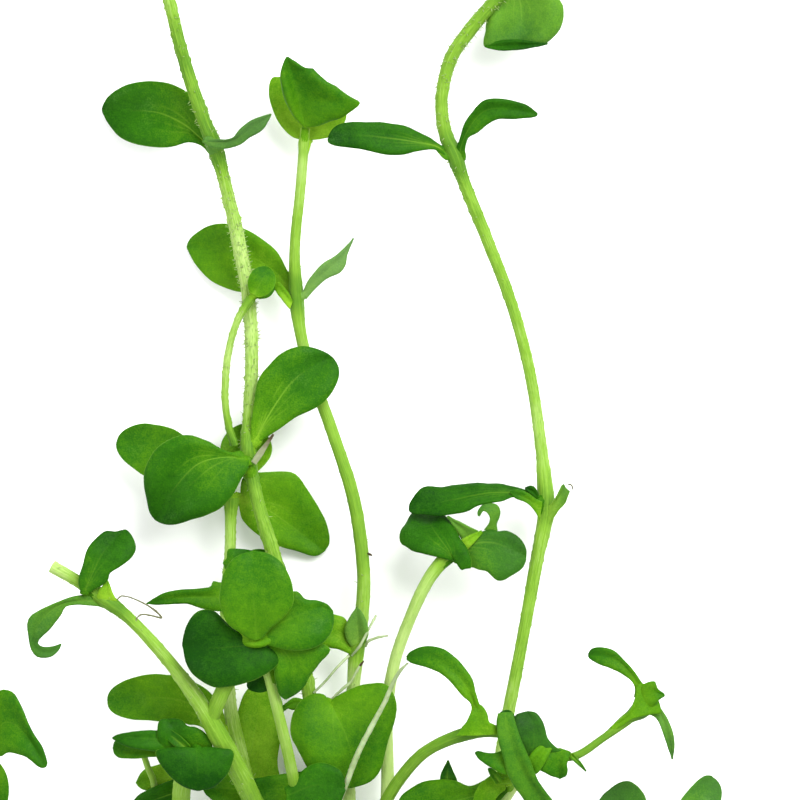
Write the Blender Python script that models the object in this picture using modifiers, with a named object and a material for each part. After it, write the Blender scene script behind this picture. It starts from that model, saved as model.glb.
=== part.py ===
"""Bacopa: a picked clump of a small pond plant, lying on a flat surface.

Round stems spring from one short creeping rootstock and carry pairs of thin
oval leaves. The clump lies with its roots towards -Y and its shoot tips
towards +Y, and +Z points up from the surface that it rests on.

Routes are written in millimetres on the clump's own layout axes. MIDDLE is the
layout's place for the point under the centre of the whole clump, which becomes
the origin.
"""
from dataclasses import dataclass
import math

import bmesh
import bpy
from mathutils import Quaternion, Vector

MM = 0.001
MIDDLE = Vector((-10.6, -2.3, 0.0))

LEAF_THICKNESS = 0.5
TABLE_GAP = 0.02

LEAF_COLUMNS = 4
LEAF_ROWS = 6
STEM_SIDES_RESOLUTION = 2
STEM_STEPS = 2

LEAF_GREEN = (0.055, 0.19, 0.012)
STEM_GREEN = (0.34, 0.60, 0.08)
ROOTSTOCK_GREEN = (0.42, 0.50, 0.20)
TISSUE_ROUGHNESS = 0.5


@dataclass
class Stem:
    """A round stem: each point of its route is (x, y, z, radius) in millimetres."""
    name: str
    route: list
    colour: tuple = STEM_GREEN


@dataclass
class Leaf:
    """A thin leaf that follows a midrib.

    left and right shape the two halves of the blade, as seen from the base with
    the upper side up. Each is (widest, base, tip): the widest distance from the
    midrib to the edge, and how the edge runs to the base and to the tip, where
    a low number is blunt and a high number tapers. stalk is the half width that
    the blade keeps at its base, and lobe sweeps the base corners back past it.
    roll turns the blade about its midrib at the base and at the tip, positive
    with the right edge down, in degrees. cup bends the edges up, and fold
    creases the blade along the midrib.
    """
    name: str
    midrib: list
    left: tuple
    right: tuple
    roll: tuple = (0.0, 0.0)
    cup: float = 16.0
    fold: float = 4.0
    stalk: tuple = (0.9, 0.9)
    lobe: tuple = (0.0, 0.0)


STEMS = [
    Stem("rootstock", [
        (-34.5, -91.2, 2.4, 2.1), (-26, -92.6, 2.8, 2.6), (-14, -92.9, 3.0, 2.8),
        (-2, -93.1, 2.9, 2.7), (9, -92.9, 2.8, 2.6), (16, -92.5, 2.8, 2.4)], ROOTSTOCK_GREEN),
    Stem("left_stem", [
        (-48.6, 91.5, 12.6, 1.1), (-46.1, 80, 12.2, 1.2), (-43.1, 68, 11.9, 1.25),
        (-39.2, 56, 11.2, 1.35), (-36.7, 49.8, 10.7, 1.6), (-35.1, 44, 10, 1.25),
        (-32.3, 32, 8.8, 1.35), (-30.2, 20, 8.5, 1.3), (-29.6, 8, 9, 1.3),
        (-29.9, -2, 9.8, 1.3), (-30.3, -10.6, 11.4, 1.6), (-28.8, -18.5, 12, 1.25),
        (-25.5, -30, 12.4, 1.4), (-21.6, -42, 11.6, 1.4), (-18.6, -56, 9.4, 1.35),
        (-16, -72, 6.6, 1.4), (-14, -88.7, 4.7, 1.45)]),
    Stem("side_shoot", [
        (-33, -9, 12.6, 0.8), (-34.3, -4.5, 13, 0.7), (-34.9, 1, 13.1, 0.7),
        (-34.3, 9, 12.8, 0.7), (-32.5, 15.6, 12.4, 0.7), (-29.9, 20.2, 12, 0.85)]),
    Stem("back_stem", [
        (-33.7, -19.6, 9.4, 1.5), (-33.8, -24, 9.2, 1.1), (-33.9, -30, 9, 1.1),
        (-34.6, -40, 9, 1.2), (-34.7, -50, 9, 1.25), (-33.9, -61, 9.3, 1.3),
        (-32.8, -67.4, 9.2, 1.6), (-30.9, -74, 8.4, 1.3), (-28.6, -80.4, 6.8, 1.35),
        (-26.4, -88.8, 4.8, 1.4)]),
    Stem("middle_stem", [
        (-18.9, 54.2, 9.6, 0.95), (-19.9, 42, 9.2, 1.0), (-21, 30, 8.6, 1.05),
        (-20.6, 19.6, 8, 1.45), (-19.7, 12.6, 7.8, 1.15), (-17.6, 5, 7.6, 1.15),
        (-13.5, -6.4, 7.6, 1.2), (-9.5, -20, 7.9, 1.3), (-7.6, -34, 8.5, 1.3),
        (-7.6, -43, 9, 1.35), (-8.5, -48.6, 9.2, 1.6), (-9.4, -58, 8.2, 1.25),
        (-10.4, -72, 6.2, 1.3), (-9.6, -88.9, 4.6, 1.35)]),
    Stem("right_stem", [
        (22.2, 83.2, 12.4, 1.3), (18.4, 79, 12, 1.3), (13.8, 73.6, 11.3, 1.35),
        (10.1, 68, 10.6, 1.3), (8.3, 60, 9.8, 1.2), (9, 53.4, 9.4, 1.35),
        (10.9, 48.8, 9.2, 1.6), (12.7, 43.6, 9, 1.25), (17.4, 32, 8.4, 1.2),
        (22, 20, 7.9, 1.15), (25.6, 7, 7.6, 1.15), (28, -8, 7.9, 1.15),
        (29.2, -21.8, 9, 1.45), (27.5, -31, 9, 1.2), (24.4, -48, 9, 1.2),
        (21.7, -62, 8.4, 1.25), (18.8, -77, 6.6, 1.3), (14, -86, 5.2, 1.35),
        (9, -89, 4.6, 1.35)]),
    Stem("curved_stem", [
        (11, -30.2, 13, 1.3), (8.4, -32.2, 13.4, 1.35), (5.3, -36.4, 13.2, 1.25),
        (1.8, -44, 11.8, 1.15), (-1.1, -52.4, 10, 1.15), (-2.6, -62, 8.4, 1.2),
        (-2.5, -76, 6.4, 1.25), (-3, -89, 4.7, 1.3)]),
    Stem("front_left_stem", [
        (-69.2, -33.1, 24, 1.25), (-64.4, -35.8, 24.6, 1.2), (-59, -39.4, 25, 1.6),
        (-53.6, -43.6, 25.8, 1.15), (-46.2, -51.6, 26.8, 1.25), (-40.2, -59.6, 27, 1.6),
        (-36, -66.8, 25, 1.95), (-31.8, -74.6, 19, 2.0), (-28.4, -81.4, 12.4, 1.95),
        (-22.4, -88.6, 6.4, 1.7)]),
    Stem("front_fork", [
        (-36, -61.2, 28.8, 1.5), (-33.8, -57.4, 29.8, 1.55), (-31.6, -53.2, 30, 1.45)]),
    Stem("front_thin_stem", [
        (-26.3, -53.6, 28.2, 1.05), (-25, -59, 26.6, 1.05), (-22.8, -68, 22, 1.1),
        (-21.1, -76, 16.2, 1.15), (-19.8, -83, 10.4, 1.2), (-18.6, -89, 6.2, 1.3)]),
    Stem("trailing_stem", [
        (-6, -89.3, 6.2, 1.35), (-3.8, -82.2, 10.4, 1.25), (0.2, -75.2, 15.8, 1.2),
        (5.8, -69.5, 20.6, 1.15), (15, -65.9, 24, 1.4), (20.6, -66.2, 24.2, 1.2),
        (26.4, -69, 24.4, 1.5), (33.8, -71, 24, 0.8), (40.6, -67.1, 22.8, 0.75),
        (45.4, -63.3, 22, 0.95), (49.2, -60.2, 21, 1.4)]),
    Stem("far_left_stem", [
        (-37.8, -91.2, 3.6, 1.25), (-49, -94.2, 5, 1.2), (-62, -95, 8.4, 1.15),
        (-75, -91, 12, 1.1), (-83, -80, 15, 1.1), (-82.8, -69.6, 16.8, 1.35)]),
    Stem("low_right_stem", [
        (19, -92.3, 3.8, 1.25), (29, -93.4, 5.2, 1.2), (41, -91.8, 7.6, 1.15),
        (50.4, -87.4, 9.4, 1.35)]),
    Stem("low_left_stem", [
        (-41.6, -71, 23.6, 1.45), (-43.4, -77, 18.4, 1.8), (-43, -83.6, 11.2, 1.8),
        (-38.8, -87.8, 7, 1.6)]),
    Stem("front_right_stem", [
        (25.4, -72.4, 21.6, 0.95), (22.6, -77, 17.4, 1.0), (18.4, -83.4, 11, 1.05),
        (15, -89.4, 6.8, 1.1)]),
]

LEAVES = [
    Leaf("left_stem_leaf_a", [(-39.4, 51.6, 9), (-44.4, 54.4, 6.8), (-50.4, 56.8, 4), (-59.6, 58.4, 0.2)],
         (6.5, 0.75, 0.45), (6.9, 0.5, 0.45), roll=(-4, 4)),
    Leaf("left_stem_leaf_b", [(-39.6, 50.9, 14.5), (-36.2, 50.2, 14.9), (-33.6, 50.3, 15), (-31, 51.8, 14.8),
                              (-25.6, 57.1, 13.6)],
         (3.1, 0.5, 0.8), (3.1, 0.5, 0.8), roll=(-66, -70), cup=8),
    Leaf("left_stem_leaf_c", [(-28, -8.4, 12), (-25, -2.2, 12.2), (-20.8, 4.6, 12.4), (-13, 9.4, 11.2)],
         (5.4, 0.75, 0.45), (6.4, 0.75, 0.45), roll=(0, 8)),
    Leaf("left_stem_leaf_d", [(-31.2, -10.8, 14.8), (-36, -11.4, 16), (-41, -13.6, 16), (-45.4, -18.4, 14.8),
                              (-48.6, -23.6, 12.8)],
         (9.2, 0.45, 0.48), (6.7, 0.75, 0.5), roll=(-6, 4), cup=22),
    Leaf("left_stem_leaf_e", [(-30.6, -15, 9.2), (-30.8, -10, 6.6), (-31, -4.8, 5.4)],
         (5.2, 0.45, 0.5), (5.4, 0.5, 0.5)),
    Leaf("side_shoot_leaf", [(-29.2, 20.9, 13), (-27.8, 23.4, 13.4), (-26.2, 26.1, 12.6)],
         (2.7, 0.5, 0.5), (2.8, 0.5, 0.5), cup=30, stalk=(0.6, 0.6)),
    Leaf("middle_stem_leaf_a", [(-18.3, 54.9, 11.6), (-18, 59, 12.8), (-19, 63, 14.6), (-21.6, 68, 17)],
         (5.2, 0.9, 0.5), (10.2, 0.55, 0.95), cup=22),
    Leaf("middle_stem_leaf_b", [(-19, 52.2, 7.4), (-18.4, 56, 5.8), (-18.2, 60, 5.6), (-19.4, 66.4, 6.6)],
         (8.4, 0.4, 0.16), (8.8, 0.5, 0.6), cup=30, stalk=(3.4, 3.8), lobe=(0.6, 0.8)),
    Leaf("middle_stem_leaf_c", [(-22.6, 21.2, 6.8), (-26.4, 24.8, 4.4), (-33.4, 28.8, 1.4), (-42.8, 30.8, 0.1)],
         (6.6, 0.85, 0.5), (6.6, 0.7, 0.5), cup=10),
    Leaf("middle_stem_leaf_d", [(-18.7, 20.6, 9), (-16.3, 22.9, 10.2), (-13.8, 25.2, 11), (-11.3, 28.2, 11),
                                (-8.9, 32.4, 10.6)],
         (3.1, 0.6, 0.7), (3.1, 0.6, 0.7), roll=(-62, -66), cup=6),
    Leaf("middle_stem_leaf_e", [(-10.4, -47.4, 9.6), (-13.6, -46.4, 10.8), (-17.4, -46.4, 11.2)],
         (2.8, 0.7, 0.45), (3.2, 0.7, 0.45)),
    Leaf("heart_leaf", [(-13.7, -60, 12.2), (-12.6, -66, 13.6), (-11.8, -72, 13.4), (-10.8, -77.6, 11.4)],
         (11.4, 0.3, 0.5), (9.0, 0.3, 0.35), cup=14, fold=8, stalk=(10, 6.8), lobe=(2.8, 1.2)),
    Leaf("right_stem_leaf_a", [(22.8, 83.6, 9.8), (24.4, 79, 7.8), (24.7, 74, 5.6), (24.4, 71, 5.6),
                               (24, 70.3, 7.4), (23.6, 71.8, 9.4)],
         (8.4, 0.25, 0.25), (7.6, 0.35, 0.2), cup=10),
    Leaf("right_stem_leaf_b", [(8.1, 50.5, 10.7), (3, 51.7, 11.8), (-4.4, 52.2, 12.8), (-14.4, 52.2, 13.2)],
         (4.5, 0.75, 0.42), (4.2, 0.75, 0.45), roll=(44, 48), cup=8, fold=0),
    Leaf("right_stem_leaf_c", [(12.2, 52, 11), (13.5, 54.6, 11.6), (16, 57.2, 12.4), (19.4, 58.4, 12.6),
                               (23.2, 58.2, 12.2), (27.7, 57, 11.2)],
         (2.8, 0.7, 0.6), (3.4, 0.7, 0.6), roll=(-26, -28), cup=4, fold=-24),
    Leaf("right_stem_leaf_d", [(27.6, -21.2, 11), (24.4, -20, 12.2), (20, -19.8, 12.8), (15, -20.2, 12.8),
                               (9, -21, 12.6), (1.8, -21.8, 12)],
         (3.7, 1.0, 0.4), (5.3, 0.9, 0.38), roll=(50, 54), cup=8, fold=0),
    Leaf("curved_stem_leaf_a", [(10, -31.8, 15.3), (8, -28.8, 15.1), (6.2, -25, 12.2), (5.2, -22, 8),
                                (5, -20.4, 5.6)],
         (6.2, 0.35, 0.4), (5.2, 0.5, 0.4), cup=6),
    Leaf("curved_stem_leaf_b", [(13, -28.2, 13.8), (16, -28, 14.4), (19.6, -29.2, 14.4), (25, -31.6, 12.6)],
         (4.6, 0.5, 0.5), (7.2, 0.5, 0.45), roll=(-20, -22), cup=4, fold=-20),
    Leaf("back_stem_leaf_a", [(-35, -18.6, 9.4), (-41.6, -14.6, 8.4), (-49, -10.4, 6.8), (-56.6, -8.2, 5)],
         (5.4, 0.6, 0.5), (5.8, 0.55, 0.45)),
    Leaf("back_stem_leaf_b", [(-32.2, -19.6, 8.4), (-26, -20.6, 6), (-20.2, -24, 3.6), (-14.9, -29.6, 1.4)],
         (6.6, 0.32, 0.42), (7.2, 0.55, 0.5)),
    Leaf("back_stem_leaf_c", [(-36.1, -39, 10.6), (-40, -39.7, 11.6), (-45.6, -39.7, 12), (-50.8, -41, 12)],
         (2.3, 0.2, 0.7), (2.3, 0.25, 0.8), roll=(24, 30), cup=8),
    Leaf("back_stem_leaf_d", [(-35.6, -66, 10), (-39.6, -61.6, 11), (-46.6, -59.4, 11.4), (-58.4, -60.2, 9.6)],
         (4.8, 0.55, 0.42), (4.9, 0.55, 0.42)),
    Leaf("back_stem_leaf_e", [(-30.8, -71.5, 6.4), (-28.6, -66, 6.4), (-25.6, -59.6, 6)],
         (4.2, 0.5, 0.5), (6.2, 0.3, 0.5), cup=8, stalk=(1.6, 7.6), lobe=(0.4, 4.4)),
    Leaf("back_stem_leaf_f", [(-32, -36, 11), (-30, -33.8, 10.8), (-26.4, -33.4, 9.6), (-23, -36, 8.4)],
         (3.6, 0.3, 0.5), (3.6, 0.5, 0.5)),
    Leaf("front_left_leaf_a", [(-60.6, -37.8, 27.2), (-59.6, -34.2, 27.8), (-57.7, -30.8, 27.6), (-53.2, -26.3, 25.6)],
         (4.2, 0.4, 0.4), (4.2, 0.4, 0.5), stalk=(1.6, 1.6)),
    Leaf("front_left_leaf_b", [(-62.6, -40.4, 25), (-66.3, -40.4, 25.2), (-69.2, -41.6, 25.2), (-71.6, -43.8, 24.8),
                               (-73, -47, 24), (-72.6, -49.8, 23), (-70.4, -50.6, 22.2), (-67.8, -49, 21.4)],
         (1.8, 0.5, 0.5), (2.2, 0.5, 0.5), roll=(0, 10)),
    Leaf("front_cluster_leaf_a", [(-28.8, -47, 34.8), (-28.8, -41.6, 37.6), (-29, -35.6, 38.2), (-29.4, -30.2, 36.8)],
         (7.3, 0.5, 0.45), (7.2, 0.5, 0.5)),
    Leaf("front_cluster_leaf_b", [(-25.4, -50.8, 31.6), (-30, -50.2, 33.2), (-37, -49.6, 33.2), (-43.7, -49.6, 31.2)],
         (8.4, 0.35, 0.5), (8.2, 0.4, 0.5)),
    Leaf("front_cluster_leaf_c", [(-24.6, -46.4, 33.4), (-20, -44, 34), (-13.4, -42.8, 31.4)],
         (4.6, 0.5, 0.42), (4.4, 0.5, 0.42)),
    Leaf("front_cluster_leaf_d", [(-23.8, -48.4, 31), (-19.8, -51, 31.2), (-19.9, -55, 29.8), (-22.8, -60, 27.6)],
         (5.6, 0.25, 1.1), (4.2, 0.5, 0.5)),
    Leaf("trailing_stem_leaf_a", [(15, -63.8, 25.8), (14.3, -60, 27), (12.4, -57, 28), (9.8, -54.2, 28.2),
                                  (6.2, -52.2, 27.4), (1.2, -52, 25.6)],
         (2.1, 0.9, 0.42), (2.7, 0.9, 0.42), roll=(14, 24), cup=10),
    Leaf("trailing_stem_leaf_b", [(24.2, -68.2, 26.6), (22.3, -65.4, 27.8), (21.4, -62.2, 27)],
         (2.5, 0.5, 0.5), (2.5, 0.5, 0.5)),
    Leaf("trailing_stem_leaf_c", [(27.2, -67.6, 26.8), (27.2, -65, 28), (26.4, -62.3, 27.2)],
         (1.9, 0.5, 0.5), (2.9, 0.4, 0.5)),
    Leaf("trailing_stem_leaf_d", [(24.2, -71.2, 26.6), (20, -71, 27), (15, -70.4, 26.4)],
         (2.4, 0.4, 0.6), (1.4, 0.4, 0.6)),
    Leaf("trailing_stem_leaf_e", [(26.8, -72, 25.6), (25.2, -76, 25.4), (28, -80.8, 22.4), (31.4, -86, 18)],
         (3.4, 0.4, 0.6), (3.2, 0.4, 0.6)),
    Leaf("trailing_stem_leaf_f", [(48, -58.4, 22.4), (46.7, -55.4, 23.4), (44.9, -53.2, 24), (42.2, -51.5, 24),
                                  (37.4, -50.8, 22.8)],
         (1.7, 0.5, 0.42), (1.7, 0.5, 0.42), roll=(6, 10)),
    Leaf("trailing_stem_leaf_g", [(50.8, -61.9, 21.8), (52.7, -64, 22.6), (53.8, -66.6, 22.4), (54.6, -69.6, 21.6),
                                  (54.9, -72, 20.4)],
         (1.0, 0.5, 0.8), (1.0, 0.5, 0.8)),
    Leaf("low_left_leaf", [(-40.5, -69.8, 26.6), (-40.5, -73.8, 27.6), (-40.6, -78, 26)],
         (7.5, 0.16, 0.5), (7.5, 0.16, 0.5), cup=8, stalk=(5, 5)),
    Leaf("far_left_leaf_a", [(-81.8, -67, 18.8), (-78.4, -66, 21.6), (-74.4, -68.8, 23.4), (-71, -73, 23.6)],
         (8.4, 0.2, 1.0), (5.0, 0.3, 0.6), stalk=(5, 4)),
    Leaf("far_left_leaf_b", [(-81.6, -71.6, 18.8), (-80.6, -76.6, 19), (-80.6, -82.6, 17)],
         (2.8, 0.5, 0.5), (3, 0.5, 0.5)),
    Leaf("low_right_leaf_a", [(48.6, -86, 10.6), (45.2, -82, 9), (41.8, -77.9, 6)],
         (5.4, 0.6, 0.42), (5.2, 0.6, 0.42)),
    Leaf("low_right_leaf_b", [(52.2, -86.4, 10), (57, -83.4, 7), (62.6, -75.4, 1.8)],
         (3.2, 0.7, 0.5), (4.4, 0.6, 0.42)),
    Leaf("front_right_leaf_a", [(15.4, -84.6, 12.6), (11, -81.4, 14.2), (5, -79.8, 14.4), (0.6, -80.6, 13.4)],
         (4.2, 0.5, 0.5), (4.2, 0.5, 0.5)),
    Leaf("front_right_leaf_b", [(20.8, -76.2, 20.6), (18, -77.6, 20.6), (15.6, -82, 18.6)],
         (2.0, 0.4, 0.5), (2.4, 0.4, 0.5)),
    Leaf("front_thin_stem_leaf", [(-18.4, -81, 15.8), (-15.6, -78, 17.6), (-10.8, -76.6, 17.4)],
         (3.8, 0.5, 0.42), (3.8, 0.5, 0.42)),
]


def layout_point(x, y, z):
    """Turn a layout position in millimetres into a place in metres."""
    return (Vector((x, y, z)) - MIDDLE) * MM


def smooth_route(points, share):
    """Return the point at a share of a smooth curve through a few points."""
    places = [Vector(point) for point in points]
    lengths = [0.0]
    for before, after in zip(places, places[1:]):
        lengths.append(lengths[-1] + (after - before).length)
    reach = share * lengths[-1]
    span = 0
    while span < len(places) - 2 and lengths[span + 1] < reach:
        span += 1
    start, end = places[span], places[span + 1]
    gap = lengths[span + 1] - lengths[span]
    along = (reach - lengths[span]) / gap

    def slope(index):
        if index == 0:
            return (places[1] - places[0]) / lengths[1]
        if index == len(places) - 1:
            return (places[-1] - places[-2]) / (lengths[-1] - lengths[-2])
        return (places[index + 1] - places[index - 1]) / (lengths[index + 1] - lengths[index - 1])

    square, cube = along ** 2, along ** 3
    return ((2 * cube - 3 * square + 1) * start + (cube - 2 * square + along) * gap * slope(span)
            + (3 * square - 2 * cube) * end + (cube - square) * gap * slope(span + 1))


def midrib_frames(leaf, shares):
    """Return the place, forward, right and up directions of the midrib at each share."""
    frames = []
    step = 0.02
    before, up = None, Vector((0, 0, 1))
    for share in shares:
        place = smooth_route(leaf.midrib, share)
        forward = (smooth_route(leaf.midrib, min(1.0, share + step))
                   - smooth_route(leaf.midrib, max(0.0, share - step))).normalized()
        if before:
            up = before.rotation_difference(forward) @ up
        up = (up - up.dot(forward) * forward).normalized()
        before = forward
        roll = math.radians(leaf.roll[0] + (leaf.roll[1] - leaf.roll[0]) * share)
        turned = Quaternion(forward, roll) @ up
        frames.append((place, forward, forward.cross(turned), turned))
    return frames


def half_width(half, stalk, share):
    """Return the blade's width from the midrib to one edge."""
    widest, base, tip = half
    peak = base / (base + tip)
    blade = widest * (share / peak) ** base * ((1 - share) / (1 - peak)) ** tip
    return math.hypot(blade, stalk * (1 - share) ** 3)


def leaf_point(leaf, frame, across, share):
    """Return the layout place of a point of the blade's middle surface."""
    place, forward, right, up = frame
    side = 1 if across > 0 else 0
    half = leaf.right if side else leaf.left
    width = half_width(half, leaf.stalk[side], share) * abs(across)
    fold = math.radians(leaf.fold)
    bend = math.radians(leaf.cup) * abs(across) + 1e-6
    outward = width * (math.sin(fold + bend) - math.sin(fold)) / bend
    raised = width * (math.cos(fold) - math.cos(fold + bend)) / bend
    swept = leaf.lobe[side] * across ** 2 * (1 - share) ** 3
    point = place + math.copysign(outward, across) * right + raised * up - swept * forward
    point.z = max(point.z, LEAF_THICKNESS / 2 + TABLE_GAP)
    return point


def build_leaf(leaf, collection):
    """Shape a flat grid into the blade and give it its thickness."""
    bm = bmesh.new()
    bmesh.ops.create_grid(bm, x_segments=LEAF_COLUMNS, y_segments=LEAF_ROWS, size=1.0)
    rows = sorted({round(vert.co.y, 4) for vert in bm.verts})
    shares = [math.sin(math.pi * (row + 1) / 4) ** 2 for row in rows]
    frames = midrib_frames(leaf, shares)
    for vert in bm.verts:
        row = rows.index(round(vert.co.y, 4))
        vert.co = layout_point(*leaf_point(leaf, frames[row], vert.co.x, shares[row]))
    bmesh.ops.remove_doubles(bm, verts=bm.verts, dist=0.01 * MM)
    bmesh.ops.recalc_face_normals(bm, faces=bm.faces)
    mesh = bpy.data.meshes.new(leaf.name)
    bm.to_mesh(mesh)
    bm.free()
    mesh.shade_smooth()
    obj = bpy.data.objects.new(leaf.name, mesh)
    collection.objects.link(obj)
    wall = obj.modifiers.new("blade thickness", "SOLIDIFY")
    wall.thickness = LEAF_THICKNESS * MM
    wall.offset = 0.0
    mesh.materials.append(tissue(leaf.name, LEAF_GREEN))


def build_stem(stem, collection):
    """Sweep a round stem along its route, thicker at its nodes."""
    curve = bpy.data.curves.new(stem.name, "CURVE")
    curve.dimensions = "3D"
    curve.bevel_depth = MM
    curve.bevel_resolution = STEM_SIDES_RESOLUTION
    curve.resolution_u = STEM_STEPS
    curve.render_resolution_u = STEM_STEPS
    curve.use_fill_caps = True
    spline = curve.splines.new("BEZIER")
    spline.bezier_points.add(len(stem.route) - 1)
    for knot, (x, y, z, radius) in zip(spline.bezier_points, stem.route):
        knot.co = layout_point(x, y, z)
        knot.handle_left_type = "AUTO"
        knot.handle_right_type = "AUTO"
        knot.radius = radius
    obj = bpy.data.objects.new(stem.name, curve)
    collection.objects.link(obj)
    curve.materials.append(tissue(stem.name, stem.colour))


def tissue(name, colour):
    """Make the plain plant-tissue material of one piece."""
    material = bpy.data.materials.new(name)
    material.use_nodes = True
    shader = material.node_tree.nodes["Principled BSDF"]
    shader.inputs["Base Color"].default_value = (*colour, 1.0)
    shader.inputs["Roughness"].default_value = TISSUE_ROUGHNESS
    shader.inputs["Metallic"].default_value = 0.0
    return material


def main():
    for obj in list(bpy.data.objects):
        bpy.data.objects.remove(obj)
    collection = bpy.data.collections.new("bacopa")
    bpy.context.scene.collection.children.link(collection)
    for stem in STEMS:
        build_stem(stem, collection)
    for leaf in LEAVES:
        build_leaf(leaf, collection)


main()
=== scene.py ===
"""Bacopa, dressed for the studio.

The clump lies on a flat surface with its roots towards -Y and its shoot tips
towards +Y, and the camera looks straight down on it. Every stem and leaf of
the frame is replaced by a finer one on the same route: ribbed, hairy stems,
and fleshy blades with veins. Roots, dried pieces, stubs and the smallest
leaves are added.

Routes are written in millimetres on the clump's own layout axes, like the
frame's. MIDDLE is the layout's place for the origin.
"""
from dataclasses import dataclass, replace
from itertools import accumulate
import math
import random

import bmesh
import bpy
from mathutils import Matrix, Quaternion, Vector, noise


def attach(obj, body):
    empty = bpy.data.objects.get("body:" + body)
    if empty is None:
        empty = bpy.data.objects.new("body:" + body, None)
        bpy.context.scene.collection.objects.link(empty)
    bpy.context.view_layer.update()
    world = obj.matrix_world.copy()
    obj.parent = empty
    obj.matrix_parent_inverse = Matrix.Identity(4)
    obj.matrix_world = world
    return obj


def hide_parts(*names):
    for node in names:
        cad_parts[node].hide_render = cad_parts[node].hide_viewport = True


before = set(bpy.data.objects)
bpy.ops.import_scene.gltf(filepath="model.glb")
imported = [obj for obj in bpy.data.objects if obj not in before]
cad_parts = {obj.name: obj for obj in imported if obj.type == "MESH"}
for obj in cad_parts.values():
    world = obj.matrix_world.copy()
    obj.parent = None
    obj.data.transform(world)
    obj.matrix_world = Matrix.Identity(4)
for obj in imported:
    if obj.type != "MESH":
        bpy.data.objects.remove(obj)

bl_info = {
    "name": "Bacopa Dresser",
    "version": (1, 0, 0),
    "blender": (4, 5, 0),
    "location": "3D View > Sidebar > Bacopa",
    "description": "Dresses a picked clump of bacopa with ribbed stems, fleshy leaves, hairs and roots",
    "category": "Object",
}

MM = 0.001
MIDDLE = Vector((-10.6, -2.3, 0.0))
BODY = "root"
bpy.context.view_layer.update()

LEAF_THICKNESS = 0.5
TABLE_GAP = 0.02
LEAF_ROWS = 44
HALF_COLUMNS = 20
COLUMNS = [math.sin(math.pi / 2 * column / HALF_COLUMNS) for column in range(-HALF_COLUMNS, HALF_COLUMNS + 1)]
EDGE_WOBBLE = 0.035
EDGE_WAVES = 0.45
RIGHT_EDGE_SHIFT = 9
CORNER_ROUNDING = 0.5
LEAST_BEND = 1e-6


@dataclass
class Stem:
    """A round stem: each point of its route is (x, y, z, radius) in millimetres.

    tones are how light it is along its route, evenly spaced: 0 is leaf green, 1
    is the palest yellow-green. They hold the stem's own colour together with
    painted light and shade: a stem that lies in deep shade is given more, so light
    is painted into it. On a dried strand 0 is straw and 1 is brown. rough is how
    warty and streaked its skin is. hairs are how many it has on a square
    millimetre, spaced as tones.
    """
    name: str
    route: list
    tones_and_painted_light: tuple = (0.7, 0.8, 0.6)
    rough: float = 0.6
    hairs: tuple = (0.0, 0.0)
    slot: str = "stem"


@dataclass
class Leaf:
    """A leaf that follows a midrib, with the same shape values as in the frame.

    left and right shape the two halves of the blade, as seen from the base with
    the upper side up. Each is (widest, base, tip): the widest distance from the
    midrib to the edge, and how the edge runs to the base and to the tip, where
    a low number is blunt and a high number tapers. stalk is the half width that
    the blade keeps at its base, and lobe sweeps the base corners back past it.
    roll turns the blade about its midrib at the base and at the tip, positive
    with the right edge down, in degrees. cup bends the edges up, and fold
    creases the blade along the midrib. tones are how light the left half, the
    right half and the tip are, from 0 for deep green to 1 for yellow-green: the
    leaf's own green with painted light and shade in it, one half painted lighter
    than the other as the light falls. veins is how plainly its veins show.
    dusty is how much painted grey sheen covers it, a painted highlight.
    A leaf without a sheath starts from no stem.
    """
    name: str
    midrib: list
    left: tuple
    right: tuple
    roll: tuple = (0.0, 0.0)
    cup: float = 16.0
    fold: float = 4.0
    stalk: tuple = (0.9, 0.9)
    lobe: tuple = (0.0, 0.0)
    tones_and_painted_light: tuple = (0.4, 0.4, 0.35)
    veins: float = 0.6
    dusty: float = 0.0
    sheath: bool = True

    def rows(self, shares):
        """Return rows of (layout place, half width) of the blade's middle surface, base to tip."""
        return [[self.point(frame_here, across, share) for across in COLUMNS]
                for share, frame_here in zip(shares, midrib_frames(self, shares))]

    def point(self, frame_here, across, share):
        """Return a place on the blade and the blade's half width there."""
        place, forward, right, up = frame_here
        side = 1 if across > 0 else 0
        wave = noise.noise(EDGE_WAVES * (place + RIGHT_EDGE_SHIFT * side * up))
        reach = half_width((self.left, self.right)[side], self.stalk[side], share) * (1 + EDGE_WOBBLE * wave)
        width = reach * abs(across)
        fold = math.radians(self.fold)
        bend = math.radians(self.cup) * abs(across) + LEAST_BEND
        outward = width * (math.sin(fold + bend) - math.sin(fold)) / bend
        raised = width * (math.cos(fold) - math.cos(fold + bend)) / bend
        swept = (self.lobe[side] * across ** 2 * (1 - share) ** 3
                 - CORNER_ROUNDING * self.stalk[side] * across ** 6 * (1 - share) ** 4)
        point = place + math.copysign(outward, across) * right + raised * up - swept * forward
        point.z = max(point.z, LEAF_THICKNESS / 2 + TABLE_GAP)
        return point, reach


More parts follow.
